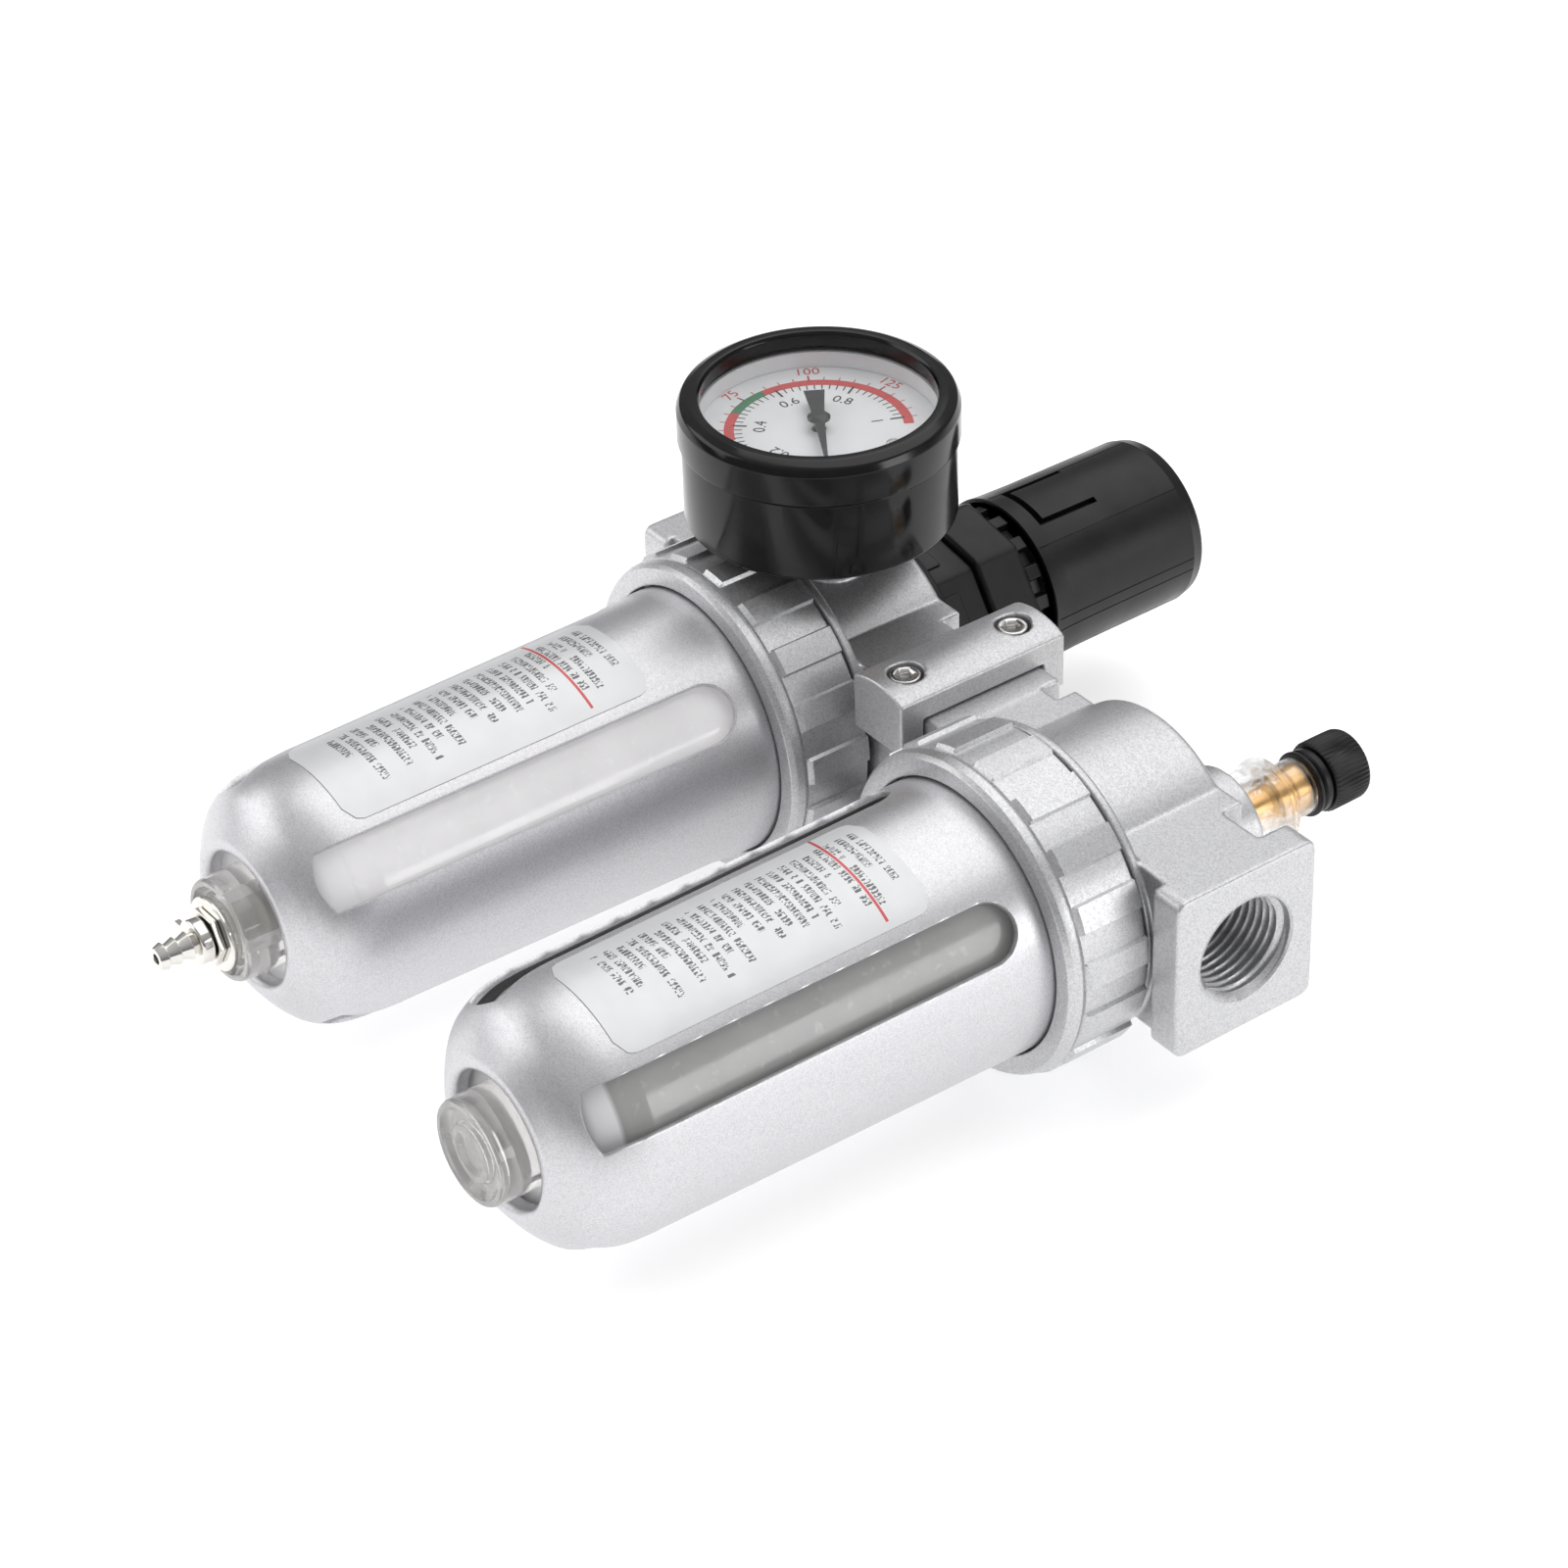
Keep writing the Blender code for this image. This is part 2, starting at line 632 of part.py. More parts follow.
def regulator_core():
    """Poppet, piston and springs between the filter and the knob."""
    x = -UNIT_X
    head_y = VALVE_SEAT_Y - GAP
    poppet = [(0, 7.2), (1.6, 7.2), (1.6, head_y), (5.4, head_y), (5.4, head_y - 2.8), (0, head_y - 2.8)]
    turned("fr_valve_poppet", poppet, (x, 0, 0), BRASS, steps=SMALL)
    coil("fr_poppet_spring", 3.4, 0.4, 3, -14.2, head_y - 3.1, (x, 0, 0), SPRING, points_per_turn=10)
    piston = [(0, 11.0), (18.4, 11.0), (18.4, 7.6), (0, 7.6)]
    turned("fr_regulating_piston", piston, (x, 0, 0), WHITE, steps=MEDIUM)
    coil("fr_regulating_spring", 11.0, 1.3, 4.5, 11.4, 26.4, (x, 0, 0), SPRING)
    seat = prism("fr_spring_seat", polygon(6, 13.2), 26.8, 30.2, (x, 0, 0), STEEL, TURN[UP])
    seat_bore = rod("fr_spring_seat_cut", SCREW_R + 0.35, 24, 33, (x, 0, 0), steps=SMALL)
    cut(seat, seat_bore)
    square = [(0, 70.0), (3.0, 70.0), (3.0, 38.8)]
    thread = [(5.6, 38.8), (5.6, 37.3), (SCREW_R, 37.3), (SCREW_R, 22.0), (0, 22.0)]
    turned("fr_adjusting_screw", square + thread, (x, 0, 0), STEEL, steps=SMALL)


def bonnet():
    """Octagonal spring housing; its crown carries the lock ring."""
    x = -UNIT_X
    base_y = BODY_TOP_Y + GAP
    neck_outline = polygon(8, BONNET_NECK_R, 12)
    crown_outline = polygon(8, BONNET_R, 12)
    body = prism("fr_bonnet", neck_outline, base_y, BONNET_STEP_Y + 0.5, (x, 0, 0), BLACK, TURN[UP])
    foot = rod("fr_bonnet_foot_form", 21.5, base_y, base_y + 2.4, (x, 0, 0))
    step, top = BONNET_STEP_Y, BONNET_TOP_Y
    crown = prism("fr_bonnet_crown_form", crown_outline, step, top, (x, 0, 0), turn=TURN[UP])
    fuse(body, foot, crown)
    hollow = rod("fr_bonnet_hollow_cut", 14.2, base_y - 1, 34.0, (x, 0, 0))
    eye = rod("fr_bonnet_eye_cut", SCREW_R + 0.4, 33, 38, (x, 0, 0), steps=SMALL)
    cut(body, hollow, eye)


def lock_ring():
    x = -UNIT_X
    outline = toothed(16, LOCK_R - 1.8, LOCK_R)
    ring = prism("fr_lock_ring", outline, *LOCK_Y, (x, 0, 0), BLACK, TURN[UP])
    bore = rod("fr_lock_ring_cut", 9.0, LOCK_Y[0] - 2, LOCK_Y[1] + 2, (x, 0, 0), steps=MEDIUM)
    cut(ring, bore)


def regulator_knob():
    """Push-to-lock knob: a cup over the lock ring with a spring tab cut in its wall."""
    x = -UNIT_X
    y0, y1 = KNOB_Y
    profile = [
        (0, y1),
        (KNOB_R - 2.2, y1),
        (KNOB_R - 0.7, y1 - 0.8),
        (KNOB_R - 0.1, y1 - 2.6),
        (KNOB_R, 56.0),
        (KNOB_R + 0.4, 46.0),
        (KNOB_R + 0.8, y0),
        (LOCK_R + 0.5, y0),
        (LOCK_R + 0.2, 46.0),
        (KNOB_R - 2.2, 56.0),
        (KNOB_R - 2.4, y1 - 3.0),
        (8.0, y1 - 3.0),
        (8.0, 46.0),
        (3.3, 46.0),
        (3.3, y1 - 5.0),
        (0, y1 - 5.0),
    ]
    knob = turned("regulator_knob", profile, (x, 0, 0), BLACK)
    for i, angle in enumerate((66.0, 104.0)):
        groove = block(f"knob_tab_groove_{i}_cut", (x - 0.6, 45.6, 14.2), (x + 0.6, 59.4, 20), at=(x, 0, 0))
        groove.rotation_euler = (0, math.radians(90 - angle), 0)
        cut(knob, groove)
    sweep = [math.radians(a) for a in range(66, 105, 6)] + [math.radians(104)]
    arc = [(20 * math.cos(a), -20 * math.sin(a)) for a in sweep]
    arc += [(14.2 * math.cos(a), -14.2 * math.sin(a)) for a in reversed(sweep)]
    cross = prism("knob_tab_groove_cross_cut", arc, 45.6, 47.0, (x, 0, 0), turn=TURN[UP])
    cut(knob, cross)


# ---- gauge ----
def gauge():
    at = (GAUGE_X, GAUGE_Y, 0)
    top = GAUGE_TOP_Z
    hexagon = [(4.6, 33.2), (6.4, 32.6), (6.4, 27.2), (4.7, 26.9)]
    stem = [(0, 40.5), (4.6, 40.5), *hexagon, (4.7, 18.0), (0, 18.0)]
    stem_piece = turned("gauge_stem", stem, at, BRASS, "Z", SMALL)
    way = rod("gauge_stem_cut", 1.6, 16, 39, at, along="Z", steps=SMALL)
    cut(stem_piece, way)
    case = [
        (CASE_R, top - BEZEL_H + 1.1),
        (CASE_R, top - BEZEL_H - GAP),
        (CASE_SIDE_R, top - BEZEL_H - GAP),
        (CASE_SIDE_R, CASE_BOTTOM_Z + 1.8),
        (CASE_SIDE_R - 0.5, CASE_BOTTOM_Z + 0.5),
        (CASE_SIDE_R - 1.8, CASE_BOTTOM_Z),
        (4.9, CASE_BOTTOM_Z),
        (4.9, CASE_BOTTOM_Z + 1.5),
        (CASE_R - 2.6, CASE_BOTTOM_Z + 1.5),
        (CASE_R - 1.6, CASE_BOTTOM_Z + 2.5),
        (CASE_R - 1.6, top - BEZEL_H + 1.1),
    ]
    turned("gauge_case", case, at, GLOSS, "Z", ring=True)
    bezel = [
        (BEZEL_R - 3.4, top),
        (BEZEL_R - 1.2, top - 1.0),
        (BEZEL_R, top - 2.7),
        (BEZEL_R, top - BEZEL_H),
        (CASE_R + GAP, top - BEZEL_H),
        (CASE_R + GAP, top - 3.1),
        (DIAL_R, top - 3.1),
        (DIAL_R, top - 0.7),
        (DIAL_R + 0.5, top),
    ]
    turned("gauge_bezel", bezel, at, GLOSS, "Z", ring=True)
    rod("gauge_lens", CASE_R - 1.0, top - 4.4, top - 3.4, at, CLEAR, "Z", FINE)
    tube("gauge_dial", CASE_R - 1.9, 1.4, DIAL_Z - 0.8, DIAL_Z, at, WHITE, "Z", MEDIUM)
    pointer()
    bourdon_tube()


def pointer():
    """Tapered needle with a wide tail, on the shaft that passes through the dial."""
    at = (GAUGE_X, GAUGE_Y, 0)
    tip, tail = 17.5, 9.6
    side = [(-tail, 1.9), (0, 1.3), (3, 0.95), (tip, 0.25)]
    outline = side + [(along, -across) for along, across in reversed(side)]
    turn = (0, 0, math.radians(POINTER_ZERO_DEG))
    needle = prism("gauge_pointer", outline, NEEDLE_Z, NEEDLE_Z + 0.4, at, BLACK, turn)
    hub = rod("gauge_pointer_hub_form", 2.4, NEEDLE_Z, NEEDLE_Z + 0.8, at, along="Z", steps=SMALL)
    shaft = rod("gauge_pointer_shaft_form", 0.9, DIAL_Z - 4.0, NEEDLE_Z + 0.6, at, along="Z", steps=SMALL)
    fuse(needle, hub, shaft)


def bourdon_tube():
    """C-shaped pressure tube rising from the stem inside the case."""
    at = (GAUGE_X, GAUGE_Y, 0)
    sweep = [math.radians(a) for a in range(-90, 171, 20)]
    outline = [(16.0 * math.cos(a), 16.0 * math.sin(a)) for a in sweep]
    outline += [(13.6 * math.cos(a), 13.6 * math.sin(a)) for a in reversed(sweep)]
    tube_piece = prism("gauge_bourdon_tube", outline, 41.4, 46.0, at, BRASS)
    foot = block("gauge_bourdon_foot_form", (at[0] - 3, at[1] - 16, 41.0), (at[0] + 3, at[1] + 4, 43.4))
    fuse(tube_piece, foot)


def rear_plug():
    """Socket plug in the unused gauge port at the back."""
    at = (GAUGE_X, GAUGE_Y, 0)
    plug = rod("fr_rear_gauge_plug", 4.7, -26.9, -18.0, at, STEEL, "Z", SMALL)
    socket = prism("fr_rear_plug_socket_cut", polygon(6, 2.9), -28, -23, at)
    cut(plug, socket)


# ---- lubricator internals and sight dome ----
def sight_dome():
    at = (SIGHT_X, 0, SIGHT_Z)
    base = BOSS_Y - 5.0
    dome = [
        (5.2, 40.2),
        (5.2, 33.4),
        (10.4, 33.4),
        (10.4, 31.4),
        (7.7, 30.6),
        (7.7, base),
        (3.2, base),
        (3.2, 31.0),
        (4.3, 32.0),
        (4.3, 40.2),
    ]
    turned("lub_sight_dome", dome, at, CLEAR, steps=MEDIUM, ring=True)
    seal = ring_section(6.4, BOSS_Y - 6.2, 0.8)
    turned("lub_sight_dome_seal", seal, at, RUBBER, steps=SMALL, ring=True)
    insert = [(4.0, 39.8), (4.0, 33.0), (2.9, 31.6), (2.9, 24.0), (1.3, 24.0), (1.3, 39.8)]
    turned("lub_drip_insert", insert, at, BRASS, steps=SMALL, ring=True)
    collar = [(6.1, 43.6), (6.1, 42.2), (5.4, 41.6), (5.4, 40.5), (1.6, 40.5), (1.6, 43.6)]
    turned("lub_knob_collar", collar, at, BLACK, steps=SMALL, ring=True)
    knob = [(0, 52.6), (5.9, 52.6), (6.9, 51.6), (6.9, 43.9), (1.0, 43.9), (1.0, 26.0), (0, 25.0)]
    turned("oil_adjust_knob", knob, at, BLACK, steps=MEDIUM)


def oil_way():
    """Siphon tube from the oil up to the drip chamber, with its intake strainer."""
    at = (SIGHT_X, 0, SIGHT_Z)
    tube("lub_siphon_tube", 2.6, 1.5, -112.0, -2.0, at, CLEAR, steps=SMALL)
    rod("lub_siphon_strainer", 4.2, -119.5, -112.3, at, BRASS, steps=SMALL)


def flow_vane():
    """Flexible vane that bends with the air flow across the throat."""
    tube("lub_flow_vane", 7.7, 3.4, 33.0, 35.0, (0, 0, 0), WHITE, "X", SMALL)


def fill_plug():
    at = (FILL_X, 0, 0)
    under = BODY_TOP_Y + GAP
    profile = [(0, 16.8), (6.4, 16.8), (7.0, 16.2), (7.0, under), (4.0, under), (4.0, 4.0), (0, 4.0)]
    plug = turned("lub_fill_plug", profile, at, STEEL, steps=MEDIUM)
    slot = block("lub_fill_plug_slot_cut", (FILL_X - 8, 15.6, -0.7), (FILL_X + 8, 18, 0.7))
    cut(plug, slot)


# ---- joint between the units ----
def clamp_bar(name, face):
    """Crowned bar whose legs hook over both joint plates; face is +1 at the front and -1 at the back."""
    y0, y1 = BAR_Y
    bar = prism(name, bar_outline(), y0, y1, (0, 0, 0), PAINT, TURN[UP])
    slot = block(f"{name}_slot_cut", (-20, BAR_SLOT_Y[0], 0), (20, BAR_SLOT_Y[1], BAR_SLOT_Z))
    cut(bar, slot)
    for i, y in enumerate(CLAMP_SCREW_Y):
        hole_r = 1.9 if face > 0 else 1.6
        hole = rod(f"{name}_screw_hole_{i}_cut", hole_r, 5, 30, (0, y, 0), along="Z", steps=SMALL)
        cut(bar, hole)
        if face > 0:
            sink_z = BAR_CROWN_Z - 3.4
            sink = rod(f"{name}_sink_{i}_cut", 3.5, sink_z, 30, (0, y, 0), along="Z", steps=SMALL)
            cut(bar, sink)
    soften(bar, 0.5)
    if face < 0:
        bar.rotation_euler = (-math.pi / 2, math.pi, 0)
        mirror_bar_cutters(name)
    return bar


def mirror_bar_cutters(name):
    """Turns the cutters of the rear bar half a turn about Y with their bar."""
    for cutter in CUTTERS.objects:
        if cutter.name.startswith(name):
            x, y, z = cutter.location
            cutter.location = (-x, y, -z)
            cutter.rotation_euler = (cutter.rotation_euler[0], math.pi, cutter.rotation_euler[2])


def bar_outline():
    """Bar section across X, with a crowned outer face; the second axis points to the bar's inside."""
    half = BAR_HALF_X
    crown = [(half, -BAR_EDGE_Z), (half * 0.6, -BAR_CROWN_Z + 0.6), (0, -BAR_CROWN_Z)]
    crown += [(-half * 0.6, -BAR_CROWN_Z + 0.6), (-half, -BAR_EDGE_Z)]
    return crown + [(-half, -BAR_LEG_Z), (half, -BAR_LEG_Z)]


def clamp_screws():
    for tag, y in zip(("lower", "upper"), CLAMP_SCREW_Y):
        at = (0, y, 0)
        head = BAR_CROWN_Z - 0.6
        under = BAR_CROWN_Z - 3.1
        cap = [(0, head), (2.7, head), (3.1, head - 0.4), (3.1, under)]
        profile = cap + [(1.5, under), (1.5, -19.0), (0, -19.0)]
        screw = turned(f"clamp_screw_{tag}", profile, at, STEEL, "Z", SMALL)
        socket = prism(f"clamp_screw_{tag}_socket_cut", polygon(6, 1.7), head - 1.8, head + 1, at)
        cut(screw, socket)


def joint_seal():
    half = JOINT_FACE_X - GAP
    tube("joint_seal_plate", 9.6, 6.4, -half, half, (0, 0, 0), RUBBER, "X", MEDIUM)


filter_regulator_body()
lubricator_body()
for unit, unit_x in (("fr", -UNIT_X), ("lub", UNIT_X)):
    collar_ring(unit, unit_x)
    bowl_guard(unit, unit_x)
    bowl_seal(unit, unit_x)
    label(unit, unit_x)
filter_bowl()
lubricator_bowl()
filter_set()
drain()
regulator_core()
bonnet()
lock_ring()
regulator_knob()
gauge()
rear_plug()
sight_dome()
oil_way()
flow_vane()
fill_plug()
clamp_bar("front_clamp_bar", 1)
clamp_bar("rear_clamp_bar", -1)
clamp_screws()
joint_seal()
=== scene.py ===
"""Looks of the filter regulator lubricator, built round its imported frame.

Sizes are in millimetres from the crossing of the port axis with the joint plane: X along the air line,
+Y towards the pressure knob, +Z towards the gauge. Angles about a bowl's axis run from +X towards +Z.
"""

import json
import math

import bmesh
import bpy
from mathutils import Matrix, Vector


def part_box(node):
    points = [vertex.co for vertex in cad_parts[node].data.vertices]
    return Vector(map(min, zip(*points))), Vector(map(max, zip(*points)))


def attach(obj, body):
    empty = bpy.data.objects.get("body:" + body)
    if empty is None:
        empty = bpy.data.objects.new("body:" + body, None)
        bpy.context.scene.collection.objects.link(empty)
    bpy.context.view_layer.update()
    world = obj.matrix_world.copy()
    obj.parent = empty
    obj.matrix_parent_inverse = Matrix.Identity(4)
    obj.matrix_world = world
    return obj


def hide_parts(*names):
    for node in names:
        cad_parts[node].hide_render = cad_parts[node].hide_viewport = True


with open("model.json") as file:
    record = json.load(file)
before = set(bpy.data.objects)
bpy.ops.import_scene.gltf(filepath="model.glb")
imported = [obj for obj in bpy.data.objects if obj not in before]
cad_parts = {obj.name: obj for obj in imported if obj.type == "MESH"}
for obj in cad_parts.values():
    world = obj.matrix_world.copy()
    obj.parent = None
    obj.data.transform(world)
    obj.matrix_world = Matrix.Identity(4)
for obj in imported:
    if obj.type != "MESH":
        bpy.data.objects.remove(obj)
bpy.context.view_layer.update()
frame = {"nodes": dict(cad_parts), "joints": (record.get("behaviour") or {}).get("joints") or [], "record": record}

MM = 0.001
TAU = 2 * math.pi


def middle(node):
    low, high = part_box(node)
    return (Vector(low) + Vector(high)) / 2


def extent(node, axis):
    """Low and high side of a CAD node along one axis, in design millimetres."""
    low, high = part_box(node)
    return (low[axis] - ORIGIN[axis]) / MM, (high[axis] - ORIGIN[axis]) / MM


def axis_of(joint_name):
    """Where a hinge stands, in design millimetres."""
    joint = next(j for j in frame["joints"] if j["name"] == joint_name)
    return (Vector(joint["pos_m"]) - ORIGIN) / MM


ORIGIN = Vector((0, middle("joint_seal_plate").y, middle("joint_seal_plate").z))
FR = (axis_of("fr_ring_turn").x, 0, 0)
LUB = (axis_of("lub_ring_turn").x, 0, 0)
DIAL = axis_of("pointer_sweep")
GAUGE = (DIAL.x, DIAL.y, 0)
DRIP = axis_of("drip_knob_turn")
SIGHT = (DRIP.x, 0, DRIP.z)
PORT_X = extent("lub_body", 0)[1]
GAUGE_TOP = extent("gauge_bezel", 2)[1]
FLOOR_Z = extent("lub_collar_ring", 2)[0]
CLAMP_SCREWS = ("clamp_screw_lower", "clamp_screw_upper")
CLAMP_SCREW_Y = [(middle(node).y - ORIGIN.y) / MM for node in CLAMP_SCREWS]


# ---- materials ----
class Shader:
    """A Principled material with short calls for the nodes that feed it."""

    def __init__(self, name, color=(0.8, 0.8, 0.8), rough=0.4, metal=0.0, **sockets):
        self.material = bpy.data.materials.new(name)
        self.material.use_nodes = True
        self.nodes = self.material.node_tree.nodes
        self.links = self.material.node_tree.links
        self.out = self.nodes["Principled BSDF"]
        self.set("Base Color", (*color, 1.0))
        self.set("Roughness", rough)
        self.set("Metallic", metal)
        for key, value in sockets.items():
            self.set(key.replace("_", " ").title().replace("Ior", "IOR"), value)

    def set(self, socket, value):
        self.out.inputs[socket].default_value = value

    def node(self, kind, **settings):
        made = self.nodes.new(kind)
        for key, value in settings.items():
            setattr(made, key, value)
        return made

    def coords(self, space="Object"):
        return self.node("ShaderNodeTexCoord").outputs[space]

    def noise(self, scale, detail=2.0, rough=0.5, at=None, stretch=None):
        source = at or self.coords()
        if stretch:
            mapping = self.node("ShaderNodeMapping")
            mapping.inputs["Scale"].default_value = stretch
            self.links.new(source, mapping.inputs["Vector"])
            source = mapping.outputs["Vector"]
        made = self.node("ShaderNodeTexNoise")
        made.inputs["Scale"].default_value = scale
        made.inputs["Detail"].default_value = detail
        made.inputs["Roughness"].default_value = rough
        self.links.new(source, made.inputs["Vector"])
        return made.outputs["Fac"]

    def cell_noise(self, column, row):
        made = self.node("ShaderNodeTexWhiteNoise", noise_dimensions="2D")
        pair = self.node("ShaderNodeCombineXYZ")
        self.links.new(column, pair.inputs["X"])
        self.links.new(row, pair.inputs["Y"])
        self.links.new(pair.outputs["Vector"], made.inputs["Vector"])
        return made.outputs["Value"]

    def flakes(self, scale):
        made = self.node("ShaderNodeTexVoronoi")
        made.inputs["Scale"].default_value = scale
        self.links.new(self.coords(), made.inputs["Vector"])
        parts = self.node("ShaderNodeSeparateColor")
        self.links.new(made.outputs["Color"], parts.inputs["Color"])
        return parts.outputs[0]

    def ramp(self, value, *stops):
        made = self.node("ShaderNodeValToRGB")
        band = made.color_ramp
        while len(band.elements) < len(stops):
            band.elements.new(0.5)
        for element, (place, color) in zip(band.elements, stops):
            element.position = place
            element.color = (*color, 1.0) if len(color) == 3 else color
        self.links.new(value, made.inputs["Fac"])
        return made.outputs["Color"]

    def range(self, value, low, high, start=0.0, end=1.0):
        made = self.node("ShaderNodeMapRange")
        made.inputs["From Min"].default_value = start
        made.inputs["From Max"].default_value = end
        made.inputs["To Min"].default_value = low
        made.inputs["To Max"].default_value = high
        self.links.new(value, made.inputs["Value"])
        return made.outputs["Result"]

    def mix(self, share, a, b):
        made = self.node("ShaderNodeMix", data_type="RGBA")
        self.feed(share, made.inputs["Factor"])
        self.feed(a, made.inputs[6])
        self.feed(b, made.inputs[7])
        return made.outputs[2]

    def math(self, operation, a, b=0.0):
        made = self.node("ShaderNodeMath", operation=operation)
        self.feed(a, made.inputs[0])
        self.feed(b, made.inputs[1])
        return made.outputs[0]

    def feed(self, value, socket):
        if isinstance(value, bpy.types.NodeSocket):
            self.links.new(value, socket)
        elif isinstance(value, tuple) and len(value) == 3:
            socket.default_value = (*value, 1.0)
        else:
            socket.default_value = value

    def to(self, socket, value):
        self.links.new(value, self.out.inputs[socket])

    def bump(self, height, strength, distance):
        made = self.node("ShaderNodeBump")
        made.inputs["Strength"].default_value = strength
        made.inputs["Distance"].default_value = distance
        self.links.new(height, made.inputs["Height"])
        self.to("Normal", made.outputs["Normal"])


def silver_paint(name, tone, rough, grain, depth, coarse=0.35):
    """Metallic paint: flakes that differ in tone, over a slightly uneven coat."""
    s = Shader(name, rough=rough, metal=0.82, coat_weight=0.1, coat_roughness=0.4)
    flakes = s.flakes(grain)
    cloudy = s.noise(60, 3)
    low = tuple(c * (1 - coarse) for c in tone)
    high = tuple(min(1.0, c * (1 + coarse * 0.55)) for c in tone)
    base = s.ramp(flakes, (0.0, low), (0.55, tone), (1.0, high))
    s.to("Base Color", s.mix(s.range(cloudy, 0.0, 0.25), base, tone))
    s.to("Roughness", s.range(s.noise(grain * 0.5), rough - 0.06, rough + 0.08, 0.3, 0.7))
    s.bump(s.noise(grain * 0.6, 4, 0.65), depth, 0.00015)
    return s.material


def black_plastic(name, rough, grain, tone=0.006, depth=0.1):
    s = Shader(name, rough=rough, specular_ior_level=0.34)
    wear = s.noise(220, 5, 0.6)
    s.to("Base Color", s.ramp(wear, (0.3, (tone, tone, tone * 1.05)), (0.75, (tone * 2.2,) * 3)))
    s.to("Roughness", s.range(s.noise(90, 3), rough - 0.05, rough + 0.09, 0.3, 0.7))
    s.bump(s.noise(grain, 3), depth, 0.0001)
    return s.material


def bowl_plastic(name, tint, highlight_band_tint, through, painted_glow):
    """Milky polycarbonate, painted white and made less clear from the shoulder down to the hub as a painted
    highlight, with a faint painted glow over the whole bowl.
    """
    s = Shader(name, tint, 0.12, ior=1.5, transmission_weight=through)
    place = s.node("ShaderNodeSeparateXYZ")
    s.links.new(s.coords(), place.inputs["Vector"])
    # Painted highlight: below the shoulder at y -121 the bowl takes the band tint and lets less light through.
    shoulder = ORIGIN.y - 121.0 * MM
    white = s.range(place.outputs["Y"], 1.0, 0.0, shoulder - 0.4 * MM, shoulder + 0.4 * MM)
    cloudy = s.ramp(s.noise(70, 4, 0.6), (0.25, tuple(c * 0.86 for c in tint)), (0.75, tint))
    specks = s.range(s.noise(420, 2), 0.0, 0.5, 0.62, 0.72)
    wall = s.mix(specks, cloudy, tuple(min(1.0, c * 1.25) for c in tint))
    s.to("Base Color", s.mix(white, wall, highlight_band_tint))
    s.to("Transmission Weight", s.range(white, through, 0.1))
    s.to("Roughness", s.range(s.noise(260, 3), 0.08, 0.2, 0.3, 0.7))
    # Painted light: the bowl glows by its own emission though there is no lamp inside it.
    s.set("Emission Color", (*tint, 1.0))
    s.set("Emission Strength", painted_glow)
    return s.material


def clear_plastic(name, tint, rough=0.06, alpha=0.35, through=0.85):
    s = Shader(name, tint, rough, ior=1.49, transmission_weight=through, alpha=alpha)
    s.to("Base Color", s.ramp(s.noise(45, 3), (0.3, tint), (0.8, tuple(c * 0.93 for c in tint))))
    s.to("Roughness", s.range(s.noise(300, 2), rough, rough + 0.06))
    return s.material


def bright_metal(name, tone, rough, stretch=(1, 1, 1), grain=500.0):
    s = Shader(name, rough=rough, metal=1.0)
    marks = s.noise(grain, 3, stretch=stretch)
    s.to("Base Color", s.ramp(marks, (0.25, tuple(c * 0.86 for c in tone)), (0.75, tone)))
    s.to("Roughness", s.range(marks, rough - 0.05, rough + 0.1, 0.3, 0.7))
    s.bump(marks, 0.08, 0.00008)
    return s.material


def moulded(name, tone, rough, grain=300.0, depth=0.1):
    s = Shader(name, rough=rough)
    blotch = s.noise(80, 4)
    s.to("Base Color", s.ramp(blotch, (0.3, tuple(c * 0.92 for c in tone)), (0.7, tone)))
    s.to("Roughness", s.range(blotch, rough - 0.05, rough + 0.08))
    s.bump(s.noise(grain, 3), depth, 0.0001)
    return s.material


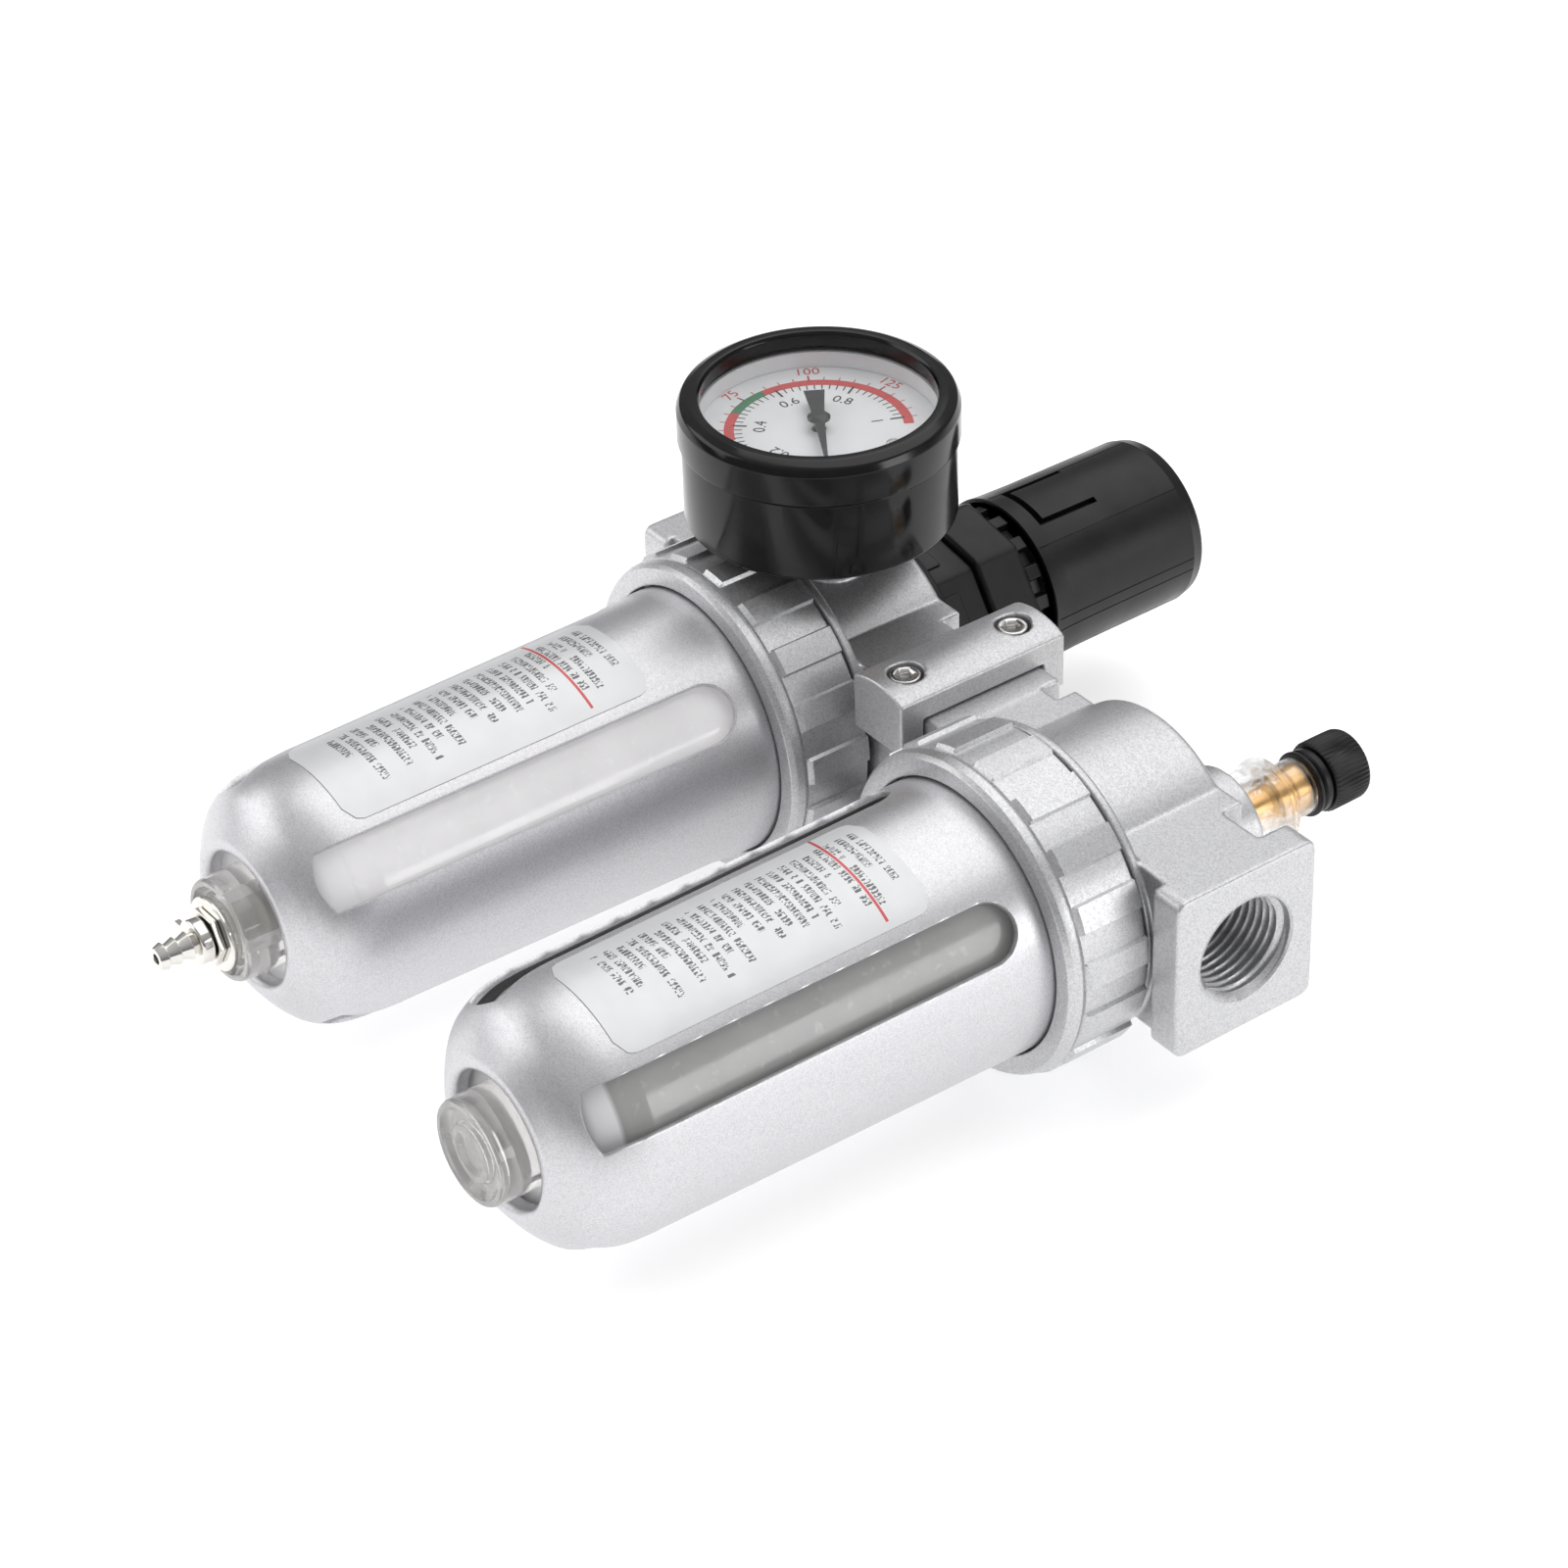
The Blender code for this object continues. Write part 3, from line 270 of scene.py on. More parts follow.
M = {
    "casting_paint": silver_paint("casting_paint", (0.62, 0.62, 0.63), 0.42, 4200, 0.09, coarse=0.22),
    "ring_paint": silver_paint("ring_paint", (0.62, 0.62, 0.63), 0.38, 4200, 0.09, coarse=0.22),
    "guard_paint": silver_paint("guard_paint", (0.66, 0.655, 0.675), 0.38, 4800, 0.035, coarse=0.16),
    "bar_paint": silver_paint("bar_paint", (0.6, 0.6, 0.61), 0.44, 3800, 0.1, coarse=0.2),
    # Each bowl's last two numbers are the tint of its painted highlight band and the strength of its painted glow.
    "clear_bowl": bowl_plastic("clear_bowl", (0.95, 0.94, 0.945), (0.97, 0.97, 0.98), 0.2, 0.15),
    "oil_bowl": bowl_plastic("oil_bowl", (0.55, 0.55, 0.54), (0.95, 0.95, 0.96), 0.35, 0.04),
    "smoky_hub": clear_plastic("smoky_hub", (0.93, 0.92, 0.90), 0.03, 1.0, 0.8),
    "clear_lens": clear_plastic("clear_lens", (0.96, 0.97, 0.97), 0.03, 0.05, 0.0),
    "clear_dome": clear_plastic("clear_dome", (0.97, 0.97, 0.96), 0.02, 0.55, 1.0),
    "black_knob": black_plastic("black_knob", 0.34, 1800, 0.004),
    "black_bonnet": black_plastic("black_bonnet", 0.36, 1500, 0.004),
    "gauge_black": black_plastic("gauge_black", 0.13, 700, 0.004, 0.04),
    "white_plastic": moulded("white_plastic", (0.80, 0.80, 0.79), 0.5),
    "element": moulded("element", (0.88, 0.87, 0.84), 0.75, 2400, 0.5),
    "dial_white": moulded("dial_white", (0.86, 0.87, 0.88), 0.45, 900, 0.03),
    "rubber": black_plastic("rubber", 0.75, 1200, 0.02),
    "bright_steel": bright_metal("bright_steel", (0.74, 0.73, 0.71), 0.24),
    "drain_chrome": bright_metal("drain_chrome", (0.80, 0.78, 0.74), 0.12, grain=260),
    "spring_steel": bright_metal("spring_steel", (0.42, 0.42, 0.43), 0.32),
    "brass": bright_metal("brass", (0.86, 0.58, 0.26), 0.22),
    "amber": bright_metal("amber", (0.90, 0.55, 0.22), 0.32, grain=320),
}


# ---- mesh building ----
def along_x(r, t, h):
    return h, r * math.cos(t), r * math.sin(t)


def along_y(r, t, h):
    return r * math.cos(t), h, r * math.sin(t)


def along_z(r, t, h):
    return r * math.cos(t), r * math.sin(t), h


def rounded(points, closed=False, steps=4):
    """Rounds each profile point that carries a third number, its corner's radius."""
    out = []
    count = len(points)
    for i, point in enumerate(points):
        here = Vector(point[:2])
        if len(point) < 3 or (not closed and i in (0, count - 1)):
            out.append(tuple(here))
            continue
        before = Vector(points[i - 1][:2]) - here
        after = Vector(points[(i + 1) % count][:2]) - here
        half = before.angle(after) / 2
        reach = min(point[2] / math.tan(half), before.length * 0.48, after.length * 0.48)
        start = here + before.normalized() * reach
        end = here + after.normalized() * reach
        for k in range(steps + 1):
            t = k / steps
            out.append(tuple(start * (1 - t) ** 2 + here * 2 * t * (1 - t) + end * t**2))
    return out


def lathe_data(profile, centre, axis=along_y, segments=96, ring=False, swell=None, angles=None):
    """Vertices and faces of a profile of (radius, height) points spun about an axis."""
    turns = angles or [TAU * i / segments for i in range(segments)]
    verts, rows, faces = [], [], []
    for r, h in profile:
        if r < 1e-6:
            verts.append(Vector(axis(0, 0, h)) + Vector(centre))
            rows.append([len(verts) - 1] * len(turns))
            continue
        rows.append(range(len(verts), len(verts) + len(turns)))
        for t in turns:
            reach = r + (swell(t, r, h) if swell else 0.0)
            verts.append(Vector(axis(reach, t, h)) + Vector(centre))
    pairs = list(zip(rows, rows[1:]))
    if ring:
        pairs.append((rows[-1], rows[0]))
    count = len(turns)
    for low, high in pairs:
        for i in range(count):
            j = (i + 1) % count
            corners = [low[i], low[j], high[j], high[i]]
            face = list(dict.fromkeys(corners))
            if len(face) > 2:
                faces.append(face)
    return verts, faces


def make(name, parts, material, shade=35.0, closed=True):
    """One object from several (vertices, faces) sets in design millimetres."""
    mesh = bpy.data.meshes.new(name)
    verts, faces = [], []
    for part_verts, part_faces in parts:
        start = len(verts)
        verts += [tuple(Vector(v) * MM + ORIGIN) for v in part_verts]
        faces += [[start + i for i in face] for face in part_faces]
    mesh.from_pydata(verts, [], faces)
    if closed:
        tidy = bmesh.new()
        tidy.from_mesh(mesh)
        bmesh.ops.recalc_face_normals(tidy, faces=tidy.faces)
        tidy.to_mesh(mesh)
        tidy.free()
    made = bpy.data.objects.new(name, mesh)
    bpy.context.scene.collection.objects.link(made)
    if material:
        mesh.materials.append(material)
    mesh.shade_smooth()
    mesh.set_sharp_from_angle(angle=math.radians(shade))
    return made


def settle(obj):
    """Applies an object's modifiers to its mesh."""
    bpy.context.view_layer.update()
    graph = bpy.context.evaluated_depsgraph_get()
    mesh = bpy.data.meshes.new_from_object(obj.evaluated_get(graph))
    obj.modifiers.clear()
    obj.data = mesh
    return obj


def piece(obj, body, slot, *nodes):
    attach(obj, body)
    if nodes:
        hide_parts(*nodes)
    return obj


def turned(name, profile, centre, slot, axis=along_y, segments=96, ring=False, shade=35.0, **shape):
    data = lathe_data(rounded(profile, ring), centre, axis, segments, ring, **shape)
    return make(name, [data], M[slot], shade)


def turned_piece(name, profile, centre, slot, body, *nodes, **shape):
    return piece(turned(name, profile, centre, slot, **shape), body, slot, *nodes)


def polygon(sides, radius, phase=0.0):
    turns = [phase + k * TAU / sides for k in range(sides)]
    return [(radius * math.cos(t), radius * math.sin(t)) for t in turns]


def box_data(low, high):
    (x0, y0, z0), (x1, y1, z1) = low, high
    verts = [(x, y, z) for x in (x0, x1) for y in (y0, y1) for z in (z0, z1)]
    faces = [(0, 1, 3, 2), (4, 6, 7, 5), (0, 4, 5, 1), (2, 3, 7, 6), (0, 2, 6, 4), (1, 5, 7, 3)]
    return verts, faces


def extrude_data(outline, start, end, place):
    """A flat outline of (u, v) points drawn from start to end; place maps (u, v, w) to (x, y, z)."""
    count = len(outline)
    verts = [place(u, v, start) for u, v in outline] + [place(u, v, end) for u, v in outline]
    faces = [list(range(count)), list(range(2 * count - 1, count - 1, -1))]
    faces += [(i, (i + 1) % count, count + (i + 1) % count, count + i) for i in range(count)]
    return verts, faces


def soften(obj, width, segments=3, angle=30.0):
    bevel = obj.modifiers.new("soften", "BEVEL")
    bevel.width = width * MM
    bevel.segments = segments
    bevel.limit_method = "ANGLE"
    bevel.angle_limit = math.radians(angle)
    bevel.harden_normals = True
    return settle(obj)


def helper(name, data):
    return make(name, [data], None)


def combine(base, others, operation):
    for other in others:
        step = base.modifiers.new("combine", "BOOLEAN")
        step.operation = operation
        step.object = other
        step.solver = "EXACT"
    settle(base)
    for other in others:
        bpy.data.objects.remove(other)
    return base


def cast(name, base, adds, cuts, slot, voxel=0.37, passes=3):
    """A die casting: solids joined and cut, then remeshed so that every corner gets a small fillet."""
    combine(base, adds, "UNION")
    combine(base, cuts, "DIFFERENCE")
    remesh = base.modifiers.new("remesh", "REMESH")
    remesh.mode = "VOXEL"
    remesh.voxel_size = voxel * MM
    smooth = base.modifiers.new("smooth", "SMOOTH")
    smooth.factor = 0.5
    smooth.iterations = passes
    settle(base)
    base.name = name
    base.data.materials.clear()
    base.data.materials.append(M[slot])
    base.data.shade_smooth()
    return base


# ---- castings ----
UNIT_X = 40.0
PORT_Z = 17.0
PORT_Y = (-16.2, 15.8)
PLATE_T = 6.9
NECK_Y = (-13.5, 13.0)
CHEEK_X = 71.8
CHEEK_Y = (-15.4, -13.0)
CHEEK_DROP = 0.8
GROOVE_FLOOR = 8.2
GROOVE_W = 9.5
JOINT_FACE = 1.4
JOINT_PLATE_X = 12.5
JOINT_GROOVE_X = 17.0
JOINT_Y = (-14.9, 12.9)
DRUM_R = 24.2
DRUM_TOP = 12.8
FLANGE_R = 30.4
THREAD_PITCH = 1.814
PORT_BORE_R = 10.5
THREAD_MINOR_R = 9.35


def block(name, x_range, y_range, z_range):
    low = (min(x_range), y_range[0], z_range[0])
    high = (max(x_range), y_range[1], z_range[1])
    return helper(name, box_data(low, high))


def rod(name, radius, start, end, centre, axis=along_y, segments=64):
    profile = [(0, end), (radius, end), (radius, start), (0, start)]
    return helper(name, lathe_data(profile, centre, axis, segments))


def plate(name, x_range, y_range, corner_r):
    """Square plate across the air line with rounded corners."""
    corners = [(y_range[1], PORT_Z), (y_range[0], PORT_Z), (y_range[0], -PORT_Z), (y_range[1], -PORT_Z)]
    outline = rounded([(*corner, corner_r) for corner in corners], closed=True, steps=6)
    return helper(name, extrude_data(outline, min(x_range), max(x_range), lambda u, v, w: (w, u, v)))


def unit_solids(side, out):
    """Solids shared by both castings; out is the sign of X towards the unit's air port."""
    adds = [
        plate(f"{side}_plate", (out * (PORT_X - PLATE_T), out * PORT_X), PORT_Y, 2.4),
        plate(f"{side}_joint", (out * JOINT_FACE, out * JOINT_PLATE_X), JOINT_Y, 1.4),
    ]
    neck = block(f"{side}_neck", (out * UNIT_X, out * (PORT_X - 1)), NECK_Y, (-PORT_Z, PORT_Z))
    groove_x = (out * (PORT_X - PLATE_T - GROOVE_W), out * (PORT_X - PLATE_T))
    combine(neck, [block(f"{side}_groove", groove_x, (GROOVE_FLOOR, 20), (-20, 20))], "DIFFERENCE")
    cheek_x = (out * CHEEK_X, out * (PORT_X - 1))
    cheek_z = (CHEEK_DROP - PORT_Z, PORT_Z - CHEEK_DROP)
    combine(neck, [block(f"{side}_cheek", cheek_x, CHEEK_Y, cheek_z)], "UNION")
    link_x = (out * (JOINT_FACE + 2), out * UNIT_X)
    link = block(f"{side}_link", link_x, (-12.6, 12.7), (0.1 - PORT_Z, PORT_Z - 0.1))
    groove_x = (out * JOINT_PLATE_X, out * JOINT_GROOVE_X)
    combine(link, [block(f"{side}_link_groove", groove_x, (GROOVE_FLOOR, 20), (-20, 20))], "DIFFERENCE")
    return adds + [neck, link]


def port_cut(side, out):
    """Plain bore that the threaded sleeve fills."""
    profile = [(0, PORT_X + 2), (PORT_BORE_R, PORT_X + 2), (PORT_BORE_R, PORT_X - 19), (0, PORT_X - 19)]
    flip = [(r, out * h) for r, h in profile]
    return helper(f"{side}_bore", lathe_data(flip, (0, 0, 0), along_x, 96))


def core_solid(side, centre):
    """Drum, flange and threaded skirt, open towards the bowl."""
    profile = [
        (0, DRUM_TOP), (DRUM_R, DRUM_TOP, 1.2), (DRUM_R, -12.9, 2.2), (FLANGE_R, -12.9, 0.5),
        (FLANGE_R, -14.9, 0.4), (26.6, -14.9), (26.6, -27.5), (25.2, -27.5), (25.2, -13.5),
        (0, -13.5),
    ]
    return helper(f"{side}_core", lathe_data(rounded(profile), centre, segments=128))


def threaded_sleeve(out, turns=9):
    """Lining of an air port: lead-in chamfer, then a helical internal thread."""
    steps_per_turn = 10
    length = turns * THREAD_PITCH
    face = PORT_X + 0.02
    count = turns * steps_per_turn
    inner = [(THREAD_MINOR_R, face - 1.6 - length * i / count) for i in range(count + 1)]
    profile = [(PORT_BORE_R + 0.5, face), (PORT_BORE_R + 0.35, face)] + inner
    profile += [(THREAD_MINOR_R - 2.0, face - 2.0 - length), (PORT_BORE_R + 0.5, face - 2.4 - length)]

    def ridge(angle, r, h):
        if r != THREAD_MINOR_R:
            return 0.0
        phase = ((face - h) / THREAD_PITCH + angle / TAU) % 1.0
        fade = min(1.0, (h - (face - 1.6 - length)) / THREAD_PITCH + 0.2)
        return 1.3 * max(0.0, min(1.0, 2.6 * abs(phase - 0.5) - 0.15)) * fade

    verts, faces = lathe_data(profile, (0, 0, 0), along_x, 96, True, ridge)
    return [Vector((out * v.x, v.y, v.z)) for v in verts], faces


def add_sleeve(obj, out):
    """Joins the threaded lining to its casting as one object."""
    sleeve = make("sleeve", [threaded_sleeve(out)], M["casting_paint"], 50.0)
    whole = bmesh.new()
    whole.from_mesh(obj.data)
    whole.from_mesh(sleeve.data)
    whole.to_mesh(obj.data)
    whole.free()
    bpy.data.objects.remove(sleeve)
    return obj


def filter_regulator_casting():
    adds = unit_solids("fr", -1)
    adds.append(rod("fr_boss", 9.0, 14, 26.5, GAUGE, along_z))
    adds.append(rod("fr_rear_boss", 9.0, -26.5, -14, GAUGE, along_z))
    cuts = [port_cut("fr", -1)]
    cuts.append(rod("fr_chamber", 19.0, 5.0, 14, FR))
    cuts.append(rod("fr_gauge_way", 5.0, 3, 28, GAUGE, along_z))
    cuts.append(rod("fr_rear_way", 5.0, -28, -3, GAUGE, along_z))
    cuts += [rod(f"fr_notch_{y}", 1.9, -19, 19, (0, y, 0), along_z, 24) for y in CLAMP_SCREW_Y]
    body = cast("fr_casting", core_solid("fr", FR), adds, cuts, "casting_paint")
    return piece(add_sleeve(body, -1), "unit", "casting_paint", "fr_body")


def lubricator_casting():
    adds = unit_solids("lub", 1)
    adds.append(rod("lub_boss", 11.2, 8, extent("lub_body", 1)[1], SIGHT))
    cuts = [port_cut("lub", 1)]
    cuts.append(rod("lub_well", 8.2, 14.3, 30, SIGHT))
    cuts.append(rod("lub_fill_way", 4.3, -16, 14, (middle("lub_fill_plug").x / MM, 0, 0)))
    cuts += [rod(f"lub_notch_{y}", 1.9, -19, 19, (0, y, 0), along_z, 24) for y in CLAMP_SCREW_Y]
    body = cast("lub_casting", core_solid("lub", LUB), adds, cuts, "casting_paint")
    return piece(add_sleeve(body, 1), "unit", "casting_paint", "lub_body")


# ---- collar rings, guards, labels, bowls ----
RING_PADS = 18
RING_LAND_R = 31.3
RING_PAD_RISE = 0.78
PAD_SHARE = 0.52
RING_Y = (-33.3, -16.1)


def smooth_step(value, low, high):
    t = max(0.0, min(1.0, (value - low) / (high - low)))
    return t * t * (3 - 2 * t)


def collar_ring(side, centre, phase):
    """Ring with raised grip pads; each pad is flat-sided and fades out before the front band."""
    y0, y1 = RING_Y
    land = RING_LAND_R
    profile = [
        (land - 0.5, y1, 0.3), (land, y1, 0.3), (land, y1 - 1.0), (land, y1 - 1.3),
        (land, y1 - 7.0), (land, y0 + 4.2), (land, y0 + 3.8), (land, y0 + 3.4),
        (land - 0.5, y0 + 3.2), (land - 0.5, y0 + 2.9), (land + 0.1, y0 + 2.6, 0.2),
        (land - 0.2, y0 + 1.0, 0.6), (land - 0.9, y0, 0.4), (27.0, y0, 0.4), (27.0, y0 + 2.4),
        (28.3, y0 + 2.4), (28.3, y1),
    ]
    pitch = TAU / RING_PADS
    edge = 0.012
    cuts = []
    for i in range(RING_PADS):
        start = math.radians(phase) + i * pitch
        pad = pitch * PAD_SHARE
        cuts += [start, start + edge, start + pad / 2, start + pad - edge, start + pad]
        cuts += [start + pad + (pitch - pad) * share for share in (0.33, 0.66)]
    angles = sorted(angle % TAU for angle in cuts)

    def pads(angle, r, h):
        if r < land - 0.2 or h < y0 + 3.0:
            return 0.0
        place = (angle - math.radians(phase)) % pitch
        pad = pitch * PAD_SHARE
        across = smooth_step(place, 0, edge) * (1 - smooth_step(place, pad - edge, pad))
        return RING_PAD_RISE * across * smooth_step(h, y0 + 3.5, y0 + 4.1)

    look = {"ring": True, "swell": pads, "angles": angles, "shade": 25}
    node = f"{side}_collar_ring"
    return turned_piece(f"{side}_ring", profile, centre, "ring_paint", f"{side}_ring", node, **look)


GUARD_WALL = 1.3
GUARD_BODY = [(27.9, -28.9), (27.9, -30.3), (26.6, -30.3), (26.6, -33.5), (25.7, -110.0)]
GUARD_SHOULDER = [(25.6, -116.4), (24.9, -122.0), (22.8, -127.2), (19.8, -130.4), (15.6, -133.3)]
GUARD_HOLE_R = 13.0
SLOT_HALF_W = 5.8
SLOT_Y = (-127.6, -38.5)
SLOT_CORNER_Y = -126.1
SLOTS = 4
PATCH_Y = (-129.5, -35.5)


def spline(points, per_span):
    """Smooth curve through the points, with tangents halved at both ends."""
    out = []
    count = len(points)
    for i in range(count - 1):
        p0, p1, p2, p3 = (Vector(points[min(max(i + k, 0), count - 1)]) for k in (-1, 0, 1, 2))
        for k in range(per_span):
            t = k / per_span
            a = (p2 - p0) / 2
            b = (p3 - p1) / 2
            out.append(
                p1 * (2 * t**3 - 3 * t**2 + 1) + a * (t**3 - 2 * t**2 + t)
                + p2 * (3 * t**2 - 2 * t**3) + b * (t**3 - t**2)
            )
    return out + [Vector(points[-1])]


def guard_skin():
    """Outer side of a guard from the ring to the hole in its end, as (radius, height)."""
    tail = [GUARD_BODY[-2], (26.2, -70.0), GUARD_BODY[-1]] + GUARD_SHOULDER
    skin = spline(tail, 10)
    rim = [(14.2, -133.6), (13.3, -133.2), (GUARD_HOLE_R, -132.2), (GUARD_HOLE_R, -130.2)]
    return skin + [Vector(point) for point in rim]


def radius_at(skin, height):
    for a, b in zip(skin, skin[1:]):
        if a.y >= height >= b.y:
            return a.x + (b.x - a.x) * (a.y - height) / (a.y - b.y or 1)
    return skin[0].x if height > skin[0].y else skin[-1].x


def slot_outline(across, up):
    """Points round a slot from its lower left corner: foot, right side, round end, left side."""
    low, high = SLOT_Y
    shoulder = high - SLOT_HALF_W
    half = SLOT_HALF_W
    points = []
    for i in range(across):
        u = -half + 2 * half * i / across
        points.append((u, SLOT_CORNER_Y + (low - SLOT_CORNER_Y) * (1 - (u / half) ** 2)))
    points += [(half, SLOT_CORNER_Y + (shoulder - SLOT_CORNER_Y) * i / up) for i in range(up)]
    for i in range(across):
        angle = math.pi * i / across
        points.append((half * math.cos(angle), shoulder + half * math.sin(angle)))
    points += [(-half, shoulder + (SLOT_CORNER_Y - shoulder) * i / up) for i in range(up)]
    return points


def border_outline(across, up, half_angle):
    low, high = PATCH_Y
    points = [(-half_angle + 2 * half_angle * i / across, low) for i in range(across)]
    points += [(half_angle, low + (high - low) * i / up) for i in range(up)]
    points += [(half_angle - 2 * half_angle * i / across, high) for i in range(across)]
    points += [(-half_angle, high + (low - high) * i / up) for i in range(up)]
    return points


def strip(upper, lower):
    """Quads between two rows of as many vertices."""
    pairs = list(zip(upper, lower))
    return [(a, b, d, c) for (a, c), (b, d) in zip(pairs, pairs[1:])]


def guard_surface(start_deg):
    """Open skin of a guard with its slots, as quads that follow each slot's edge."""
    skin = guard_skin()
    across, up, loops = 20, 44, 12
    half_angle = math.pi / SLOTS
    outline = slot_outline(across, up)
    border = border_outline(across, up, half_angle)
    verts, faces = [], []

    def put(angle, height, radius=None):
        r = radius_at(skin, height) if radius is None else radius
        verts.append(Vector(along_y(r, angle, height)))
        return len(verts) - 1

    for i in range(SLOTS):
        middle_angle = math.radians(start_deg) + i * TAU / SLOTS
        rings = []
        for k in range(loops + 1):
            share = (k / loops) ** 1.5
            ring = []
            for (u, v), (edge_angle, edge_y) in zip(outline, border):
                angle = u / radius_at(skin, v)
                height = v + (edge_y - v) * share
                ring.append(put(middle_angle + angle + (edge_angle - angle) * share, height))
            rings.append(ring)
        for inner, outer in zip(rings, rings[1:]):
            faces += strip(inner + inner[:1], outer + outer[:1])
        start = middle_angle - half_angle
        step = 2 * half_angle / across
        for rows in end_rows(skin):
            grid = [[put(start + step * j, p.y, p.x) for j in range(across + 1)] for p in rows]
            for upper, lower in zip(grid, grid[1:]):
                faces += strip(upper, lower)
    return verts, faces


def end_rows(skin):
    """The stretches of skin above and below the slotted band."""
    top = [Vector(p) for p in GUARD_BODY[:4]]
    top[-1] = Vector((radius_at(skin, -33.5), -33.5))
    top.append(Vector((radius_at(skin, PATCH_Y[1]), PATCH_Y[1])))
    bottom = [Vector((radius_at(skin, PATCH_Y[0]), PATCH_Y[0]))]
    bottom += [p for i, p in enumerate(skin) if p.y < PATCH_Y[0] - 0.2 or i > len(skin) - 5]
    return top, bottom


def bowl_guard(side, centre, start_deg):
    verts, faces = guard_surface(start_deg)
    placed = [v + Vector(centre) for v in verts]
    guard = make(f"{side}_guard", [(placed, faces)], M["guard_paint"], closed=False)
    shell = bmesh.new()
    shell.from_mesh(guard.data)
    bmesh.ops.remove_doubles(shell, verts=shell.verts, dist=0.02 * MM)
    bmesh.ops.recalc_face_normals(shell, faces=shell.faces)
    probe = max(shell.faces, key=lambda f: f.calc_center_median().z)
    if probe.normal.z < 0:
        bmesh.ops.reverse_faces(shell, faces=shell.faces)
    shell.to_mesh(guard.data)
    shell.free()
    thick = guard.modifiers.new("wall", "SOLIDIFY")
    thick.thickness = GUARD_WALL * MM
    thick.offset = -1
    thick.use_even_offset = True
    settle(guard)
    soften(guard, 0.28, 2, 55)
    guard.data.shade_smooth()
    guard.data.set_sharp_from_angle(angle=math.radians(50))
    return piece(guard, f"{side}_bowl_set", "guard_paint", f"{side}_bowl_guard")


LABEL_HALF_DEG = 27.0
LABEL_Y = (-117.5, -51.8)
LABEL_CORNER = 3.4
LABEL_LIFT = 0.10
LABEL_T = 0.09
TEXT_V = (0.035, 0.9)


def label_material(name, rows, rule_after):
    """Silvery film with a thin rule and rows of plain dashes in place of wording."""
    s = Shader(name, rough=0.36, coat_weight=0.2, coat_roughness=0.15, metal=0.25)
    uv = s.node("ShaderNodeUVMap", uv_map="print").outputs["UV"]
    parts = s.node("ShaderNodeSeparateXYZ")
    s.links.new(uv, parts.inputs["Vector"])
    u, v = parts.outputs["X"], parts.outputs["Y"]
    film = s.ramp(s.noise(160, 3), (0.3, (0.74, 0.745, 0.75)), (0.7, (0.78, 0.785, 0.79)))
    text_v = s.range(v, 0.0, 1.0, TEXT_V[0], TEXT_V[1])
    line = s.math("MULTIPLY", text_v, float(rows))
    place = s.math("FRACT", line)
    band = s.math("MULTIPLY", s.math("GREATER_THAN", place, 0.12), s.math("LESS_THAN", place, 0.72))
    row = s.math("FLOOR", line)
    ends = s.node("ShaderNodeTexWhiteNoise", noise_dimensions="1D")
    s.links.new(row, ends.inputs["W"])
    right = s.range(ends.outputs["Value"], 0.45, 0.86)
    inside = s.math("MULTIPLY", s.math("GREATER_THAN", u, 0.14), s.math("LESS_THAN", u, right))
    letter = s.math("MULTIPLY", u, 32.0)
    gaps = s.math("GREATER_THAN", s.cell_noise(s.math("FLOOR", letter), row), 0.13)
    cell_x = s.math("FLOOR", s.math("MULTIPLY", letter, 4.0))
    cell_y = s.math("FLOOR", s.math("MULTIPLY", line, 5.0))
    stroke = s.math("GREATER_THAN", s.math("FRACT", letter), 0.25)
    stroke = s.math("MULTIPLY", stroke, s.math("GREATER_THAN", s.cell_noise(cell_x, cell_y), 0.34))
    ink = s.math("MULTIPLY", s.math("MULTIPLY", band, inside), s.math("MULTIPLY", gaps, stroke))
    margin = s.math("MULTIPLY", s.math("GREATER_THAN", v, TEXT_V[0]), s.math("LESS_THAN", v, TEXT_V[1]))
    ink = s.math("MULTIPLY", ink, margin)
    rule_v = TEXT_V[0] + (TEXT_V[1] - TEXT_V[0]) * (rule_after - 0.08) / rows
    off_rule = s.math("ABSOLUTE", s.math("SUBTRACT", v, rule_v))
    printed = s.mix(s.math("MULTIPLY", ink, 0.85), film, (0.035, 0.035, 0.04))
    rule = s.math("MULTIPLY", s.math("LESS_THAN", off_rule, 0.0045), s.math("LESS_THAN", u, 0.94))
    s.to("Base Color", s.mix(rule, printed, (0.62, 0.10, 0.11)))
    s.to("Roughness", s.range(s.noise(400), 0.3, 0.42))
    return s.material


